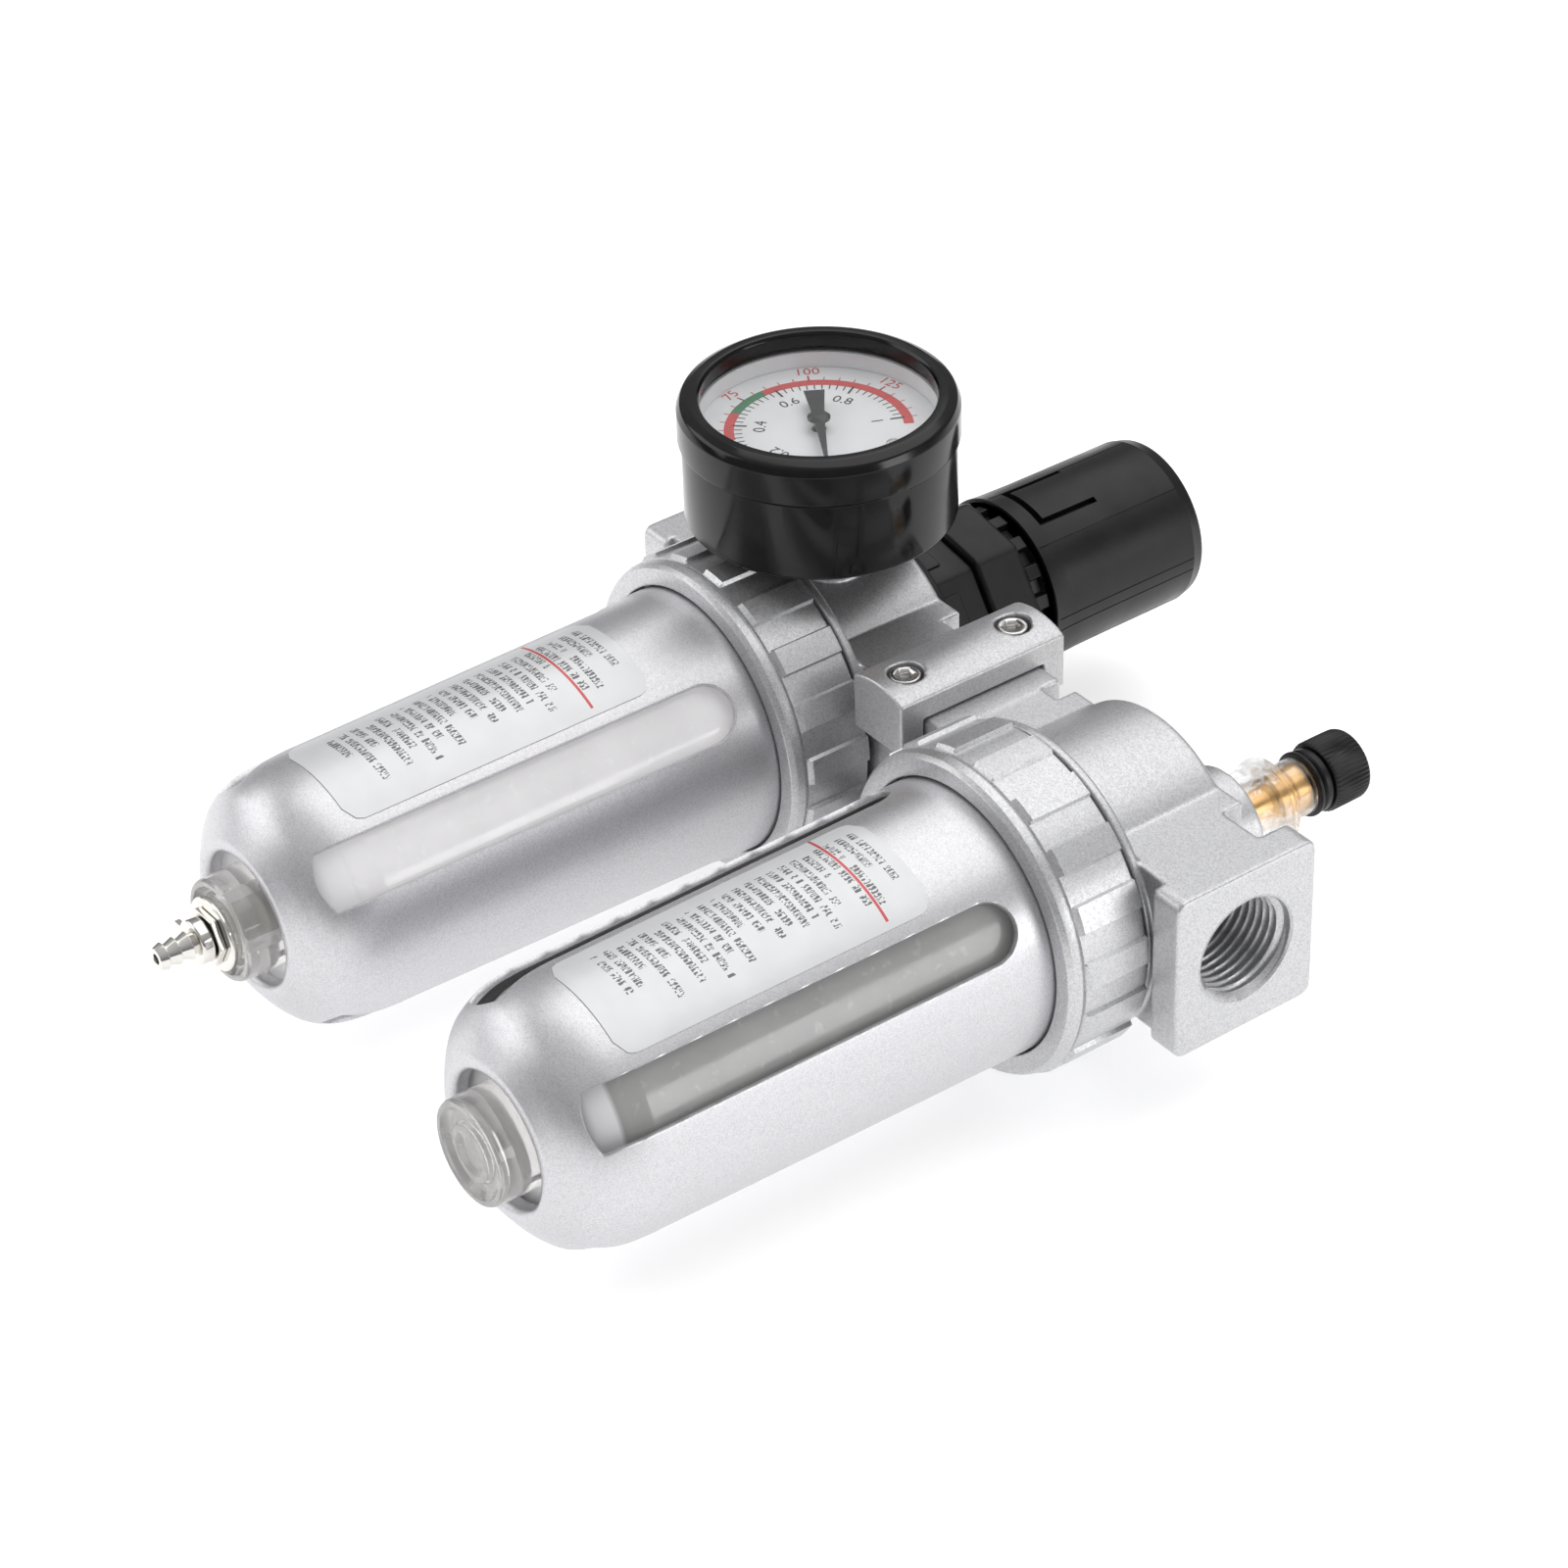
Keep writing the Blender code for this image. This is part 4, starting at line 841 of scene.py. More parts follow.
def label(side, centre, slot_deg, rows, rule_after):
    """Curved film with round corners; its print runs round the guard in rows."""
    skin = guard_skin()
    across, long = 28, 48
    middle_angle = math.radians(slot_deg + 45)
    half = math.radians(LABEL_HALF_DEG)
    low, high = LABEL_Y
    verts, faces, prints = [], [], []
    for layer in (LABEL_LIFT + LABEL_T, LABEL_LIFT):
        for j in range(long + 1):
            v = j / long
            for i in range(across + 1):
                u = i / across
                height = high + (low - high) * v
                from_end = min(v, 1 - v) * (high - low)
                pull = max(0.0, LABEL_CORNER - from_end)
                inset = LABEL_CORNER - math.sqrt(max(0.0, LABEL_CORNER**2 - pull**2))
                radius = radius_at(skin, height) + layer
                reach = half - inset / radius
                turn = middle_angle + reach * (1 - 2 * u)
                verts.append(Vector(along_y(radius, turn, height)) + Vector(centre))
                prints.append((u, v))
    width = across + 1
    sheet = width * (long + 1)
    for j in range(long):
        for i in range(across):
            a = j * width + i
            faces.append((a, a + 1, a + 1 + width, a + width))
            faces.append((sheet + a, sheet + a + width, sheet + a + width + 1, sheet + a + 1))
    rim = list(range(width)) + [j * width + across for j in range(1, long + 1)]
    rim += [long * width + i for i in range(across - 1, -1, -1)]
    rim += [j * width for j in range(long - 1, 0, -1)]
    for a, b in zip(rim, rim[1:] + rim[:1]):
        faces.append((a, sheet + a, sheet + b, b))
    film = label_material(f"{side}_label_film", rows, rule_after)
    made = make(f"{side}_film", [(verts, faces)], film)
    layer = made.data.uv_layers.new(name="print")
    for loop in made.data.loops:
        layer.data[loop.index].uv = prints[loop.vertex_index]
    return piece(made, f"{side}_bowl_set", "label_film", f"{side}_label")


def bowl(side, centre, bore, look):
    """Clear bowl with its hub reaching out through the guard."""
    neck_y = -13.8
    profile = [
        (24.5, neck_y, 0.4), (24.5, -16.8, 0.3), (23.9, -17.3), (23.7, -40.0), (23.5, -70.0),
        (23.4, -95.0), (23.3, -115.5, 4.0), (22.4, -120.0, 4.0), (19.8, -125.2, 4.0),
        (15.5, -128.7, 3.0), (bore, -129.4), (bore, -126.8), (12.0, -126.7, 1.0),
        (18.4, -122.4, 3.0), (20.9, -116.0, 3.0), (21.7, neck_y),
    ]
    return turned(f"{side}_clear_bowl", profile, centre, look, ring=True)


HUB_Y = -138.9
HUB_FOOT_Y = -129.5


def bowls():
    """Both bowls, each with a smoky hub that stands out of the guard's end."""
    piece(bowl("fr", FR, 4.2, "clear_bowl"), "fr_bowl_set", "clear_bowl", "fr_bowl")
    piece(bowl("lub", LUB, 6.2, "oil_bowl"), "lub_bowl_set", "clear_bowl", "lub_bowl")
    wall = [(8.4, HUB_Y + 0.4, 0.3), (8.7, HUB_Y, 0.3), (9.7, HUB_Y, 0.3)]
    wall += [(10.0, HUB_Y + 0.6, 0.3), (10.2, HUB_FOOT_Y)]
    drained = [(4.0, HUB_FOOT_Y), (4.0, HUB_Y + 0.9, 0.2), (6.6, HUB_Y + 0.7, 0.3)]
    drained += [(7.4, HUB_Y + 1.6, 0.4)]
    hub = turned("fr_bowl_hub", drained + wall, FR, "smoky_hub", segments=72, ring=True)
    piece(hub, "fr_bowl_set", "clear_bowl")
    closed = [(0, HUB_Y + 1.3), (3.0, HUB_Y + 1.0, 1.0), (4.2, HUB_Y + 0.3, 0.4)]
    closed += [(5.4, HUB_Y + 0.3, 0.4), (5.9, HUB_Y + 1.2, 0.3), (7.4, HUB_Y + 1.3, 0.4)]
    closed += wall + [(0, HUB_FOOT_Y)]
    hub = turned("lub_bowl_hub", closed, LUB, "smoky_hub", segments=72)
    piece(hub, "lub_bowl_set", "clear_bowl")


def drain():
    """Chromed seat, hexagon nut and barbed stem at the foot of the filter bowl."""
    seat = [(7.2, -139.2, 0.3), (7.2, -140.4, 0.3), (2.7, -140.4)]
    seat += [(2.7, -125.3), (3.9, -125.3), (3.9, -139.2)]
    seat_at = ("fr_bowl_set", "fr_drain_seat")
    turned_piece("fr_drain_washer", seat[::-1], FR, "drain_chrome", *seat_at, ring=True, segments=64)
    nut = hexagon_nut("fr_drain_hex", 5.6, 2.7, -141.8, -140.5, FR, "drain_chrome")
    piece(soften(nut, 0.2, 2), "fr_bowl_set", "drain_chrome")
    tip = extent("fr_drain_valve", 1)[0]
    foot = -142.1
    profile = [(1.0, -124.3), (2.4, -124.3), (2.4, foot)]
    profile += [(4.4, foot, 0.4), (4.4, foot - 2.4, 0.5), (2.0, foot - 2.4)]
    pitch = (foot - 2.4 - tip) / 3
    for i in range(3):
        top = foot - 2.4 - i * pitch
        profile += [(2.0, top - 0.3 * pitch), (2.75, top - 0.36 * pitch, 0.12), (2.15, top - pitch)]
    profile += [(1.0, tip, 0.2)]
    stem = lathe_data(rounded(profile, True), FR, segments=48, ring=True)
    tab_low = (FR[0] - 7.0, foot - 2.1, -0.8)
    tab_high = (FR[0] - 2.6, foot - 0.6, 0.8)
    valve = make("fr_drain_stem", [stem], M["drain_chrome"])
    wing = soften(make("fr_drain_wing", [box_data(tab_low, tab_high)], M["drain_chrome"]), 0.3)
    piece(valve, "fr_drain", "drain_chrome", "fr_drain_valve")
    piece(wing, "fr_drain", "drain_chrome")


def hexagon_nut(name, corner_r, bore_r, start, end, centre, slot):
    """Six-sided nut along Y; its faces are split to match the points of its round hole."""
    count = 24
    corners = [Vector(point) for point in polygon(6, corner_r)]
    outer = []
    for k in range(count):
        place = k * 6 / count
        side = int(place)
        outer.append(corners[side].lerp(corners[(side + 1) % 6], place - side))
    hole = polygon(count, bore_r)
    verts, faces = [], []
    for edge, height in ((outer, start), (outer, end), (hole, end), (hole, start)):
        verts += [Vector((x + centre[0], height, z + centre[2])) for x, z in edge]
    rows = [[level * count + k % count for k in range(count + 1)] for level in range(4)]
    for low, high in zip(rows, rows[1:] + rows[:1]):
        faces += strip(low, high)
    return make(name, [(verts, faces)], M[slot])


# ---- filter element seen through the slots ----
def element():
    outer = [(9.5, -77.8), (9.5, -25.0), (14.0, -25.0, 0.6), (14.0, -77.8, 0.6)]
    node = "fr_filter_element"
    turned_piece("fr_sintered_element", outer[::-1], FR, "element", "unit", node, ring=True)


# ---- regulator knob, bonnet, lock ring ----
KNOB_SLOT_DEG = (66.0, 104.0)
KNOB_SLOT_Y = (45.7, 59.3)
KNOB_LINES_DEG = (50.0, 0.0, -9.0, 105.5, 180.0, 230.0, 275.0, 320.0)


def knob_angles():
    marks = []
    for degrees in KNOB_SLOT_DEG + KNOB_LINES_DEG:
        width = 2.0 if degrees in KNOB_SLOT_DEG else 0.35
        marks += [degrees - width - 0.15, degrees - width, degrees + width, degrees + width + 0.15]
    plain = [i * 3.0 for i in range(120)]
    keep = [p for p in plain if all(abs((p - m + 180) % 360 - 180) > 1.0 for m in marks)]
    return sorted(math.radians(a % 360) for a in marks + keep)


def knob_relief(angle, r, h):
    """Depth of the spring tab's groove and of the fine mould lines."""
    if r < 16.2:
        return 0.0
    degrees = math.degrees(angle)

    def near(target, width):
        return abs((degrees - target + 180) % 360 - 180) <= width + 0.01

    low, high = KNOB_SLOT_Y
    in_leg = any(near(d, 2.0) for d in KNOB_SLOT_DEG) and low - 0.61 <= h <= high + 0.01
    between = KNOB_SLOT_DEG[0] - 2.01 <= degrees <= KNOB_SLOT_DEG[1] + 2.01
    in_cross = between and abs(h - low) <= 0.61
    if in_leg or in_cross:
        return -1.6
    if 41.9 <= h <= 76.6 and any(near(d, 0.35) for d in KNOB_LINES_DEG):
        return -0.13
    return 0.0


def regulator_knob():
    top = extent("regulator_knob", 1)[1]
    low, high = KNOB_SLOT_Y
    profile = [
        (0, top), (14.2, top, 0.3), (16.5, top - 0.5, 1.2), (17.1, top - 3.2), (17.15, 76.7),
        (17.15, 76.5), (17.2, high + 0.15), (17.2, high), (17.25, 52.0), (17.4, low + 0.75),
        (17.4, low + 0.6), (17.42, low - 0.6), (17.42, low - 0.75), (17.6, 42.0), (17.62, 41.8),
        (17.7, 41.2, 0.2), (16.9, 41.2), (16.6, 46.0), (15.2, 56.0), (14.8, top - 3.0),
        (0, top - 3.0),
    ]
    data = lathe_data(rounded(profile), FR, swell=knob_relief, angles=knob_angles())
    stem = [(8.0, top - 3.2), (8.0, 46.0), (3.3, 46.0), (3.3, top - 5.0)]
    stem += [(0, top - 5.0), (0, top - 3.2)]
    core = lathe_data(stem, FR, segments=48)
    knob = make("pressure_knob_shell", [data, core], M["black_knob"])
    piece(knob, "pressure_knob", "black_knob", "regulator_knob")


BONNET_Y = (13.1, 26.4, 36.9)
BONNET_NECK_R = 17.5
BONNET_CROWN_R = 19.2
BONNET_BORE_R = 14.2
BONNET_ROOF_Y = 34.0
BONNET_EYE_R = 4.4
BONNET_TURN_DEG = 12.0


def on_filter_axis(u, v, w):
    return FR[0] + u, w, v


def bonnet():
    """Octagonal spring housing: neck, wider crown with an eye, round foot, pads on the flats."""
    base, step, top = BONNET_Y
    turn = math.radians(BONNET_TURN_DEG)
    neck_form = extrude_data(polygon(8, BONNET_NECK_R, turn), base, step + 0.4, on_filter_axis)
    neck = soften(make("bonnet_neck", [neck_form], M["black_bonnet"]), 0.9)
    combine(neck, [rod("neck_hollow", BONNET_BORE_R, base - 1, step + 1, FR)], "DIFFERENCE")
    crown_form = extrude_data(polygon(8, BONNET_CROWN_R, turn), step, top, on_filter_axis)
    crown = soften(make("bonnet_crown", [crown_form], M["black_bonnet"]), 1.1)
    hollow = rod("crown_hollow", BONNET_BORE_R, step - 1, BONNET_ROOF_Y, FR)
    eye = rod("crown_eye", BONNET_EYE_R, BONNET_ROOF_Y - 1, top + 1, FR)
    combine(crown, [hollow, eye], "DIFFERENCE")
    foot_profile = [(14.3, base), (14.3, base + 2.2), (21.4, base + 2.2, 0.5), (21.4, base, 0.3)]
    foot = turned("bonnet_foot", foot_profile[::-1], FR, "black_bonnet", ring=True)
    flat = BONNET_NECK_R * math.cos(TAU / 16)
    pads = []
    for k in range(8):
        face_turn = Matrix.Rotation(-turn - (k + 0.5) * TAU / 8, 3, "Y")
        verts, faces = box_data((flat - 0.4, 17.6, -3.2), (flat + 0.45, 21.4, 3.2))
        pads.append(([face_turn @ Vector(v) + Vector(FR) for v in verts], faces))
    raised = soften(make("bonnet_pads", pads, M["black_bonnet"]), 0.25)
    piece(neck, "unit", "black_bonnet", "fr_bonnet")
    for other in (crown, foot, raised):
        piece(other, "unit", "black_bonnet")


def lock_ring():
    teeth, root, tip = 16, 14.6, 16.4
    outline = []
    for i in range(teeth):
        start = i * TAU / teeth + math.radians(10)
        for share, radius in ((0, root), (0.03, tip), (0.47, tip), (0.5, root)):
            angle = start + share * TAU / teeth
            outline.append((radius * math.cos(angle), radius * math.sin(angle)))
    ring_form = extrude_data(outline, 37.3, 40.5, on_filter_axis)
    ring = make("lock_ring_teeth", [ring_form], M["black_bonnet"])
    piece(soften(ring, 0.25, 2), "unit", "black_bonnet", "fr_lock_ring")


# ---- gauge ----
DIAL_TOP_DEG = 200.0
SCALE_SWEEP_DEG = 270.0
MPA_STEP_DEG = 54
PSI_STEP_DEG = 46.5
BAND_R = (15.9, 17.8)
RED_SPANS_DEG = ((-45, -12), (19, 143))
GREEN_SPAN_DEG = (-12, 19)
NUMERAL_SIZE = 3.3
DIAL_R = 22.2
NEEDLE_DEG = -32.0


def dial_angle(clock_deg):
    """Direction of a dial mark; clock_deg runs clockwise from the dial's top."""
    return math.radians(DIAL_TOP_DEG - clock_deg)


def on_gauge_axis(u, v, w):
    return GAUGE[0] + u, GAUGE[1] + v, w


def gauge_part(name, profile, slot, segments, ring, *nodes):
    return turned_piece(
        name, profile, GAUGE, slot, "unit", *nodes, axis=along_z, segments=segments, ring=ring
    )


def gauge_shell():
    top = GAUGE_TOP
    under = extent("gauge_case", 2)[0]
    case = [
        (25.2, top - 7.4), (25.2, top - 8.9), (25.9, top - 9.0, 0.3), (25.9, under + 1.0, 0.9),
        (24.4, under, 0.6), (4.9, under), (4.9, under + 1.4), (22.4, under + 1.5, 1.0),
        (23.6, under + 2.8, 1.0), (23.6, top - 7.4),
    ]
    gauge_part("gauge_cup", case, "gauge_black", 128, True, "gauge_case")
    bezel = [
        (24.3, top, 0.7), (25.9, top - 0.8, 1.2), (26.6, top - 2.4, 0.8),
        (26.6, top - 8.6, 0.35), (25.5, top - 8.6, 0.2), (25.5, top - 3.1), (DIAL_R, top - 3.1),
        (DIAL_R, top - 0.7, 0.3), (DIAL_R + 0.4, top, 0.3),
    ]
    gauge_part("gauge_rim", bezel, "gauge_black", 160, True, "gauge_bezel")
    window = [(0, top - 3.4), (24.2, top - 3.4, 0.2), (24.2, top - 4.4, 0.2), (0, top - 4.4)]
    gauge_part("gauge_window", window, "clear_lens", 96, False, "gauge_lens")
    stem = [
        (0, 40.2), (4.6, 40.2), (4.6, 33.2), (6.4, 32.6, 0.4), (6.4, 27.2, 0.4), (4.7, 26.9),
        (4.7, 18.0, 0.4), (0, 18.0),
    ]
    gauge_part("gauge_connection", stem, "brass", 48, False, "gauge_stem")


def sector_data(r0, r1, start_deg, end_deg, z, thick=0.03):
    """Flat curved strip on the dial, from one clock angle to another."""
    steps = max(1, round(abs(end_deg - start_deg) / 3))
    outline = [(r1, start_deg + (end_deg - start_deg) * k / steps) for k in range(steps + 1)]
    outline += [(r0, start_deg + (end_deg - start_deg) * k / steps) for k in range(steps, -1, -1)]
    points = [(r * math.cos(dial_angle(a)), r * math.sin(dial_angle(a))) for r, a in outline]
    return extrude_data(points, z, z + thick, on_gauge_axis)


def tick_data(r0, r1, clock_deg, width, z, thick=0.03):
    angle = dial_angle(clock_deg)
    along = Vector((math.cos(angle), math.sin(angle)))
    side = Vector((-along.y, along.x)) * width / 2
    corners = [along * r0 - side, along * r1 - side, along * r1 + side, along * r0 + side]
    return extrude_data([tuple(c) for c in corners], z, z + thick, on_gauge_axis)


def numeral(text, clock_deg, radius, size, material, z):
    """A number on the dial, upright along the dial's radius."""
    curve = bpy.data.curves.new(f"numeral_{text}", "FONT")
    curve.body = text
    curve.size = size * MM
    curve.align_x = "CENTER"
    curve.align_y = "CENTER"
    curve.extrude = 0.015 * MM
    curve.resolution_u = 3
    angle = dial_angle(clock_deg)
    obj = bpy.data.objects.new(f"numeral_{text}_{round(radius)}", curve)
    bpy.context.scene.collection.objects.link(obj)
    place = Vector(on_gauge_axis(radius * math.cos(angle), radius * math.sin(angle), z + 0.02))
    turn = Matrix.Rotation(angle - math.pi / 2, 4, "Z")
    obj.matrix_world = Matrix.Translation(place * MM + ORIGIN) @ turn
    bpy.context.view_layer.update()
    graph = bpy.context.evaluated_depsgraph_get()
    mesh = bpy.data.meshes.new_from_object(obj.evaluated_get(graph))
    mesh.transform(obj.matrix_world)
    mesh.materials.clear()
    mesh.materials.append(material)
    bpy.data.objects.remove(obj)
    return mesh


def joined(name, meshes, material):
    """One object from several meshes, with one material."""
    whole = bmesh.new()
    for mesh in meshes:
        whole.from_mesh(mesh)
    data = bpy.data.meshes.new(name)
    whole.to_mesh(data)
    whole.free()
    data.materials.append(material)
    obj = bpy.data.objects.new(name, data)
    bpy.context.scene.collection.objects.link(obj)
    return obj


def print_ink(name, color):
    s = Shader(name, rough=0.5)
    s.to("Base Color", s.ramp(s.noise(900, 2), (0.3, tuple(c * 0.85 for c in color)), (0.7, color)))
    return s.material


def dial_face():
    z = extent("gauge_dial", 2)[1]
    plate = [(1.4, z), (23.2, z, 0.1), (23.2, z - 0.7), (1.4, z - 0.7)]
    gauge_part("gauge_face", plate, "dial_white", 96, True, "gauge_dial")
    zero = -SCALE_SWEEP_DEG / 2
    red = print_ink("dial_red", (0.66, 0.05, 0.05))
    green = print_ink("dial_green", (0.03, 0.20, 0.08))
    black = print_ink("dial_ink", (0.012, 0.012, 0.014))
    band = [sector_data(*BAND_R, *span, z + 0.01) for span in RED_SPANS_DEG]
    outer = [tick_data(17.7, 18.8, zero + k * PSI_STEP_DEG / 5, 0.2, z + 0.02) for k in range(30)]
    outer += [tick_data(17.7, 19.4, zero + k * PSI_STEP_DEG, 0.34, z + 0.02) for k in range(6)]
    reds = [make("red_marks", band + outer, red).data]
    for k in range(1, 6):
        reds.append(numeral(str(25 * k), zero + k * PSI_STEP_DEG, 20.9, NUMERAL_SIZE, red, z))
    inner = [tick_data(14.4, 15.9, zero + k * MPA_STEP_DEG / 10, 0.22, z + 0.02) for k in range(51)]
    inner += [tick_data(13.6, 16.3, zero + k * MPA_STEP_DEG, 0.4, z + 0.05) for k in range(6)]
    blacks = [make("black_marks", inner, black).data]
    for k, text in enumerate(("0", "0.2", "0.4", "0.6", "0.8", "1")):
        blacks.append(numeral(text, zero + k * MPA_STEP_DEG, 11.0, NUMERAL_SIZE, black, z))
    safe = sector_data(*BAND_R, *GREEN_SPAN_DEG, z + 0.01)
    greens = [make("green_marks", [safe], green).data]
    prints = (
        ("dial_red_print", reds, red),
        ("dial_black_print", blacks, black),
        ("dial_green_print", greens, green),
    )
    for name, meshes, ink in prints:
        piece(joined(name, meshes, ink), "unit", "dial_white")
    for leftover in ("red_marks", "black_marks", "green_marks"):
        bpy.data.objects.remove(bpy.data.objects[leftover])
    rim = GAUGE_TOP - 4.6
    spacer = [(23.4, z + 0.1), (23.4, rim, 0.1), (22.6, rim, 0.2), (22.6, z + 0.1)]
    gauge_part("dial_spacer", spacer, "dial_white", 128, True)
    screw_profile = [(0, z + 0.7), (1.4, z + 0.7, 0.3), (1.5, z + 0.02), (0, z + 0.02)]
    spot = Vector((GAUGE[0], GAUGE[1], 0)) + Vector(along_z(15.2, math.radians(28), 0))
    shape = {"axis": along_z, "segments": 24}
    turned_piece("dial_screw", screw_profile, spot, "bright_steel", "unit", **shape)


def pointer():
    """Tapered needle, its wide tail and hub."""
    low, high = extent("gauge_pointer", 2)
    z0 = high - 0.8
    angle = math.radians(NEEDLE_DEG)
    ahead = Vector((math.cos(angle), math.sin(angle)))
    side = Vector((-ahead.y, ahead.x))
    outline = [(17.3, 0.22), (17.3, -0.22), (3.0, -0.9), (0, -1.2), (-2.6, -1.3), (-9.6, -2.0)]
    outline += [(-9.6, 2.0), (-2.6, 1.3), (0, 1.2), (3.0, 0.9)]
    points = [tuple(ahead * a + side * b) for a, b in outline]
    blade = extrude_data(points, z0, z0 + 0.3, on_gauge_axis)
    needle = make("gauge_needle", [blade], M["gauge_black"])
    hub = [(0, high), (1.5, high, 0.3), (2.2, z0 + 0.3, 0.1), (2.2, z0 - 0.05)]
    hub += [(0.9, z0 - 0.05), (0.9, low), (0, low)]
    cap = turned("gauge_needle_hub", hub, GAUGE, "gauge_black", along_z, 32)
    piece(needle, "pointer", "gauge_black", "gauge_pointer")
    piece(cap, "pointer", "gauge_black")


# ---- sight dome ----
def sight_dome():
    base = 17.3
    dome = [
        (5.6, 40.2, 0.2), (5.6, 33.6, 0.2), (8.6, 33.2, 0.5), (8.6, 31.8, 0.5),
        (7.75, 30.8, 0.5), (7.75, base), (3.4, base), (3.4, 30.6, 0.6), (4.5, 31.8, 0.4),
        (4.5, 40.2, 0.1),
    ]
    glass = ("unit", "lub_sight_dome")
    turned_piece("sight_glass", dome, SIGHT, "clear_dome", *glass, segments=72, ring=True)
    insert = [
        (1.3, 39.8), (4.1, 39.8, 0.3), (4.1, 36.6, 0.3), (3.6, 36.2), (3.6, 35.6),
        (4.1, 35.2, 0.3), (4.1, 32.2, 0.3), (2.9, 31.4), (2.9, 24.0, 0.3), (1.3, 24.0),
    ]
    made = turned("drip_insert", insert, SIGHT, "amber", segments=48, ring=True)
    piece(made, "unit", "brass", "lub_drip_insert")
    collar = [(1.6, 43.6), (6.2, 43.6, 0.4), (6.2, 42.2, 0.4), (5.5, 41.6)]
    collar += [(6.4, 41.2, 0.3), (6.4, 40.5, 0.3), (1.6, 40.5)]
    under = ("unit", "lub_knob_collar")
    turned_piece("knob_collar", collar, SIGHT, "black_knob", *under, segments=64, ring=True)
    ridges = 48

    def knurl(angle, r, h):
        return -0.28 * (0.5 + 0.5 * math.cos(angle * ridges)) if r > 6.75 else 0.0

    top = extent("oil_adjust_knob", 1)[1]
    knob = [
        (0, top - 0.6), (5.0, top - 0.5, 0.6), (5.9, top, 0.5), (6.6, top - 0.5),
        (6.9, top - 1.1), (6.95, 48.0), (6.95, 44.6), (6.5, 43.9, 0.2), (1.0, 43.9),
        (1.0, 26.0), (0, 25.0),
    ]
    shape = {"segments": ridges * 6, "swell": knurl}
    turned_piece("drip_knob_cap", knob, SIGHT, "black_knob", "drip_knob", "oil_adjust_knob", **shape)


def fill_plug():
    x = middle("lub_fill_plug").x / MM
    profile = [(0, 16.7), (6.5, 16.7, 0.5), (6.9, 13.2, 0.2), (4.0, 13.2), (4.0, 4.0), (0, 4.0)]
    plug = turned("fill_plug_head", profile, (x, 0, 0), "bright_steel", segments=64)
    groove = helper("fill_groove", box_data((x - 8, 15.4, -0.7), (x + 8, 18, 0.7)))
    combine(plug, [groove], "DIFFERENCE")
    piece(plug, "unit", "bright_steel", "lub_fill_plug")


# ---- clamp ----
BAR_HALF_X = 7.2
BAR_Y = (-20.3, 18.2)
BAR_CROWN = 1.8
BAR_STEPS = 12


def clamp_bar(name, face):
    """Crowned bar with legs over both joint plates and sunk screw seats."""
    half, (y0, y1) = BAR_HALF_X, BAR_Y
    crown = [(half, 10.6), (half, 21.6)]
    for k in range(BAR_STEPS + 1):
        rise = BAR_CROWN * math.sin(math.pi * k / BAR_STEPS) ** 0.7
        crown.append((half - 2 * half * k / BAR_STEPS, 21.8 + rise))
    crown += [(-half, 21.6), (-half, 10.6)]
    outline = list(dict.fromkeys((round(u, 3), round(v, 3)) for u, v in crown))
    bar = helper(f"{name}_solid", extrude_data(outline, y0, y1, lambda u, v, w: (u, w, v)))
    cuts = [block(f"{name}_slot", (-20, 20), (-15.3, 13.3), (0, 17.4))]
    for y in CLAMP_SCREW_Y:
        cuts.append(rod(f"{name}_hole_{y}", 1.9, 5, 30, (0, y, 0), along_z, 32))
        if face > 0:
            cuts.append(rod(f"{name}_sink_{y}", 3.5, 20.2, 30, (0, y, 0), along_z, 48))
    cast(name, bar, [], cuts, "bar_paint", voxel=0.3, passes=5)
    if face < 0:
        turn = Matrix.Rotation(math.pi, 4, "Y")
        bar.data.transform(Matrix.Translation(ORIGIN) @ turn @ Matrix.Translation(-ORIGIN))
    piece(bar, "unit", "bar_paint", name.replace("_casting", ""))


def clamp_screws():
    for node, y in zip(CLAMP_SCREWS, CLAMP_SCREW_Y):
        high = extent(node, 2)[1]
        profile = [(0, high), (2.85, high, 0.35), (3.05, high - 2.4, 0.1)]
        profile += [(1.5, high - 2.5), (1.5, -19.0), (0, -19.0)]
        screw = turned(f"{node}_head", profile, (0, y, 0), "bright_steel", along_z, 64)
        hexagon = [(x, y + v) for x, v in polygon(6, 1.75)]
        solid = extrude_data(hexagon, high - 1.8, high + 1, lambda u, v, w: (u, v, w))
        cutter = helper("socket", solid)
        combine(screw, [cutter], "DIFFERENCE")
        piece(screw, "unit", "bright_steel", node)


# ---- build ----
filter_regulator_casting()
lubricator_casting()
RING_PHASE = 0.4
SLOT_START = {"fr": 39.6, "lub": 32.6}
for unit, centre in (("fr", FR), ("lub", LUB)):
    collar_ring(unit, centre, RING_PHASE)
    bowl_guard(unit, centre, SLOT_START[unit])
label("fr", FR, SLOT_START["fr"], 21, 4)
label("lub", LUB, SLOT_START["lub"], 23, 3)
bowls()
drain()
element()
regulator_knob()
bonnet()
lock_ring()
gauge_shell()
dial_face()
pointer()
sight_dome()
fill_plug()
clamp_bar("front_clamp_bar_casting", 1)
clamp_bar("rear_clamp_bar_casting", -1)
clamp_screws()

# ---- CAD nodes that stay as they are ----
slots = {entry["node"]: entry["material_slot"] for entry in frame["record"]["subparts"]}
own_look = {"lub_siphon_strainer": "white_plastic", "lub_siphon_tube": "smoky_hub"}
for name, node in frame["nodes"].items():
    look = own_look.get(name, slots.get(name))
    if not node.hide_render and look in M:
        node.data.materials.clear()
        node.data.materials.append(M[look])


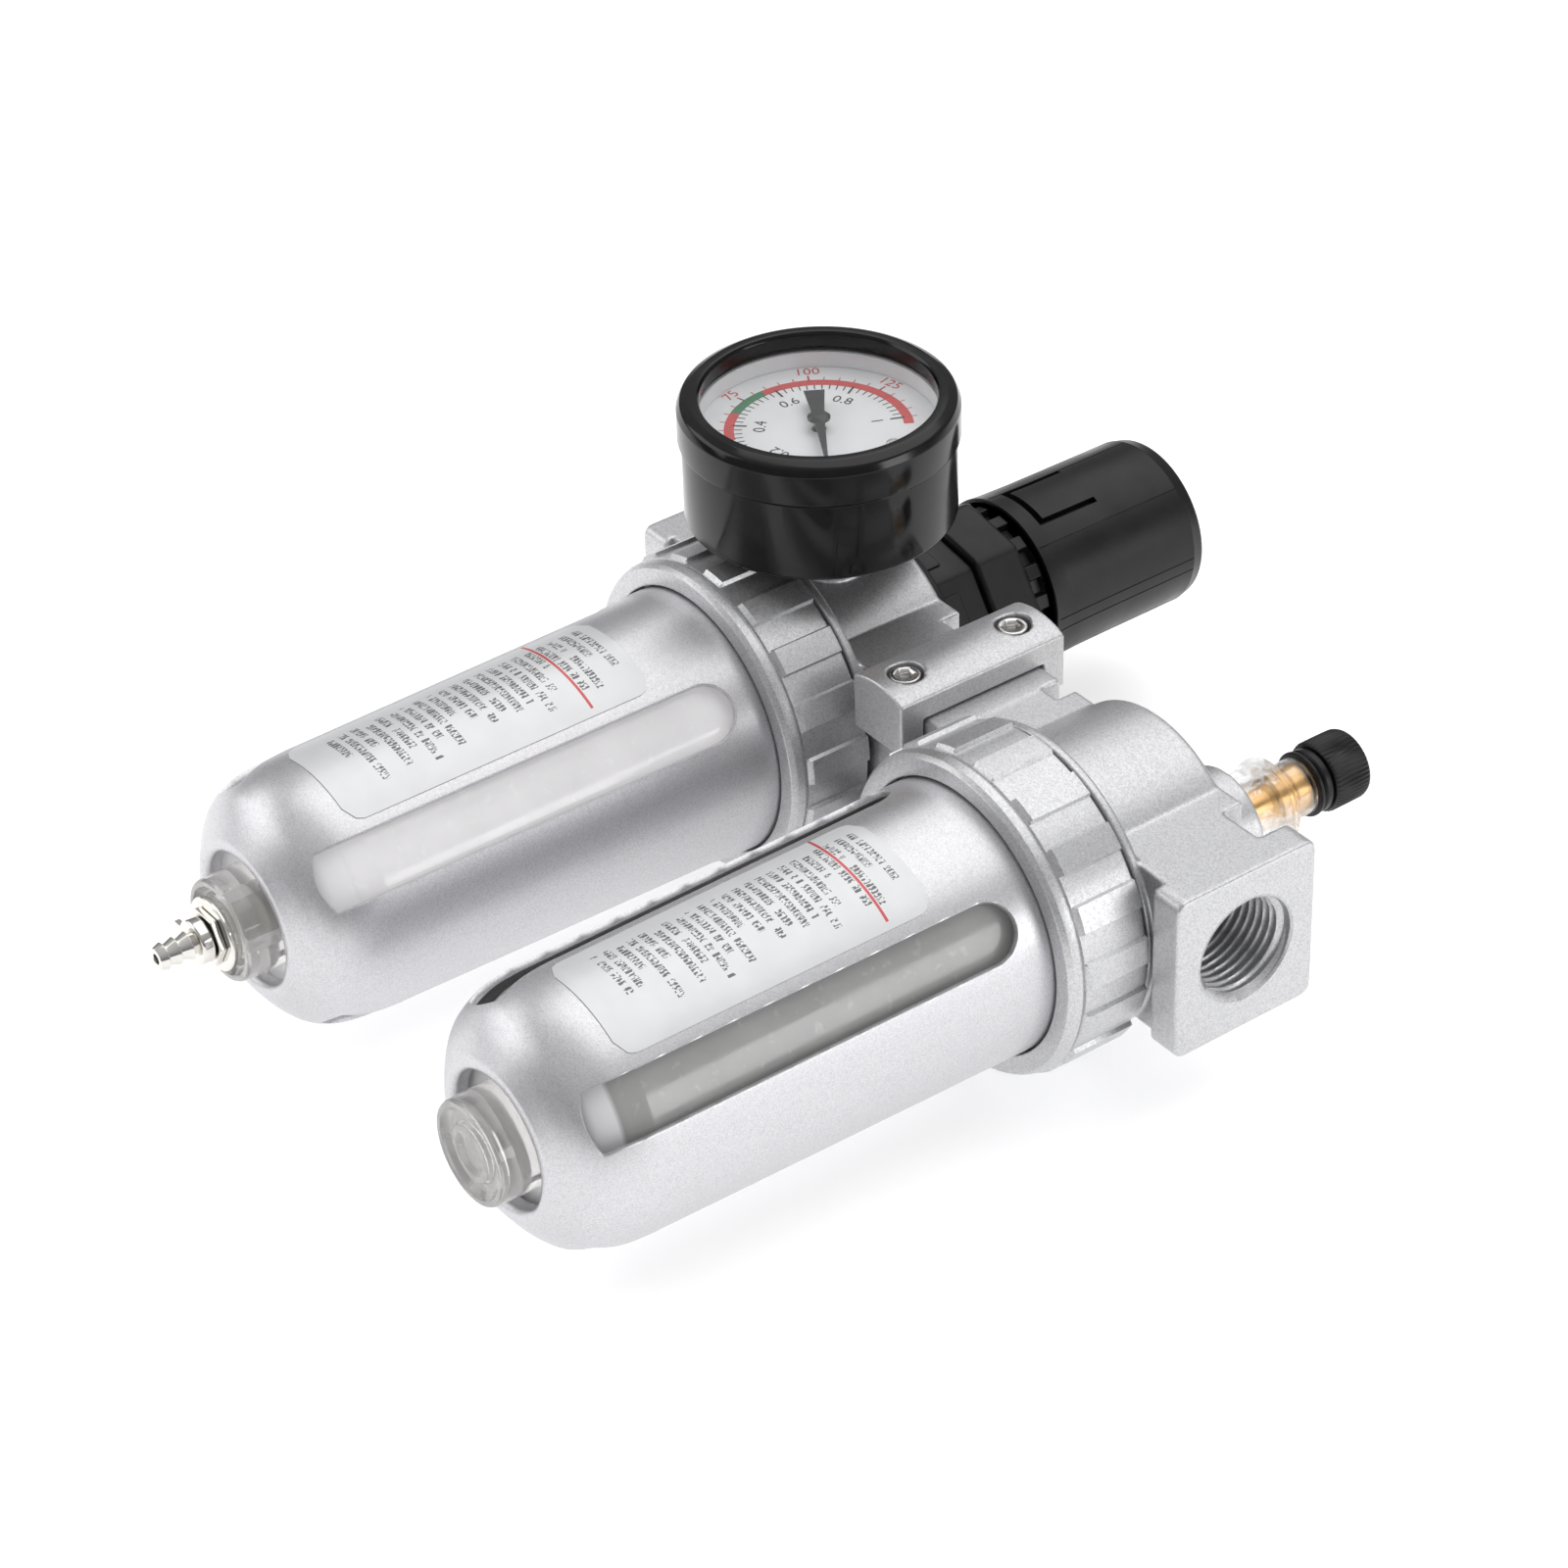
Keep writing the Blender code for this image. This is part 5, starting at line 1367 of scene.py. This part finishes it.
# ---- camera, floor and light ----
AZIMUTH = math.radians(54.07)
ELEVATION = math.radians(35.35)
ROLL = math.radians(-1.87)
CAMERA_AT = (582.98, -464.42, 521.62)
LENS_MM = 111.49


def camera():
    back = Vector((
        math.sin(AZIMUTH) * math.cos(ELEVATION),
        -math.cos(AZIMUTH) * math.cos(ELEVATION),
        math.sin(ELEVATION),
    ))
    level = Vector((math.cos(AZIMUTH), math.sin(AZIMUTH), 0))
    over = back.cross(level)
    right = level * math.cos(ROLL) + over * math.sin(ROLL)
    up = over * math.cos(ROLL) - level * math.sin(ROLL)
    data = bpy.data.cameras.new("camera")
    data.lens = LENS_MM
    data.sensor_width = 36.0
    data.clip_start = 0.05
    made = bpy.data.objects.new("camera", data)
    turn = Matrix((right, up, back)).transposed().to_4x4()
    made.matrix_world = Matrix.Translation(Vector(CAMERA_AT) * MM + ORIGIN) @ turn
    bpy.context.scene.collection.objects.link(made)
    bpy.context.scene.camera = made


def lamp(name, at, aim, size, power, color=(1, 1, 1)):
    data = bpy.data.lights.new(name, "AREA")
    data.shape = "RECTANGLE"
    data.size, data.size_y = size
    data.energy = power
    data.color = color
    made = bpy.data.objects.new(name, data)
    made.location = at
    made.rotation_euler = (Vector(aim) - Vector(at)).to_track_quat("-Z", "Y").to_euler()
    bpy.context.scene.collection.objects.link(made)


def studio():
    world = bpy.data.worlds.new("studio")
    world.use_nodes = True
    sky = world.node_tree
    place = sky.nodes.new("ShaderNodeTexCoord")
    split = sky.nodes.new("ShaderNodeSeparateXYZ")
    shade = sky.nodes.new("ShaderNodeValToRGB")
    sky.links.new(place.outputs["Generated"], split.inputs["Vector"])
    sky.links.new(split.outputs["Z"], shade.inputs["Fac"])
    sky.links.new(shade.outputs["Color"], sky.nodes["Background"].inputs["Color"])
    shade.color_ramp.elements[0].color = (0.22, 0.22, 0.245, 1.0)
    shade.color_ramp.elements[1].color = (1.0, 1.0, 1.0, 1.0)
    sky.nodes["Background"].inputs["Strength"].default_value = 0.6
    bpy.context.scene.world = world
    floor_mesh = bpy.data.meshes.new("floor")
    reach = 4.0
    z = ORIGIN.z + FLOOR_Z * MM
    corners = [(-reach, -reach, z), (reach, -reach, z), (reach, reach, z), (-reach, reach, z)]
    floor_mesh.from_pydata(corners, [], [(0, 1, 2, 3)])
    floor = bpy.data.objects.new("floor", floor_mesh)
    white = Shader("floor_white", (0.93, 0.93, 0.935), 0.7, emission_strength=0.5)
    white.set("Emission Color", (1, 1, 1, 1))
    floor_mesh.materials.append(white.material)
    bpy.context.scene.collection.objects.link(floor)
    lamp("overhead", (-0.1, 0.4, 1.0), (0, 0, 0), (1.4, 1.1), 6.0)
    lamp("front_left", (-0.85, -0.75, 0.6), (0, 0, 0.03), (1.1, 0.8), 4.4)
    lamp("right_back", (1.3, 0.6, 0.35), (0, 0, 0.03), (0.6, 0.5), 4.0)
    bpy.context.scene.view_settings.view_transform = "Standard"


camera()
studio()
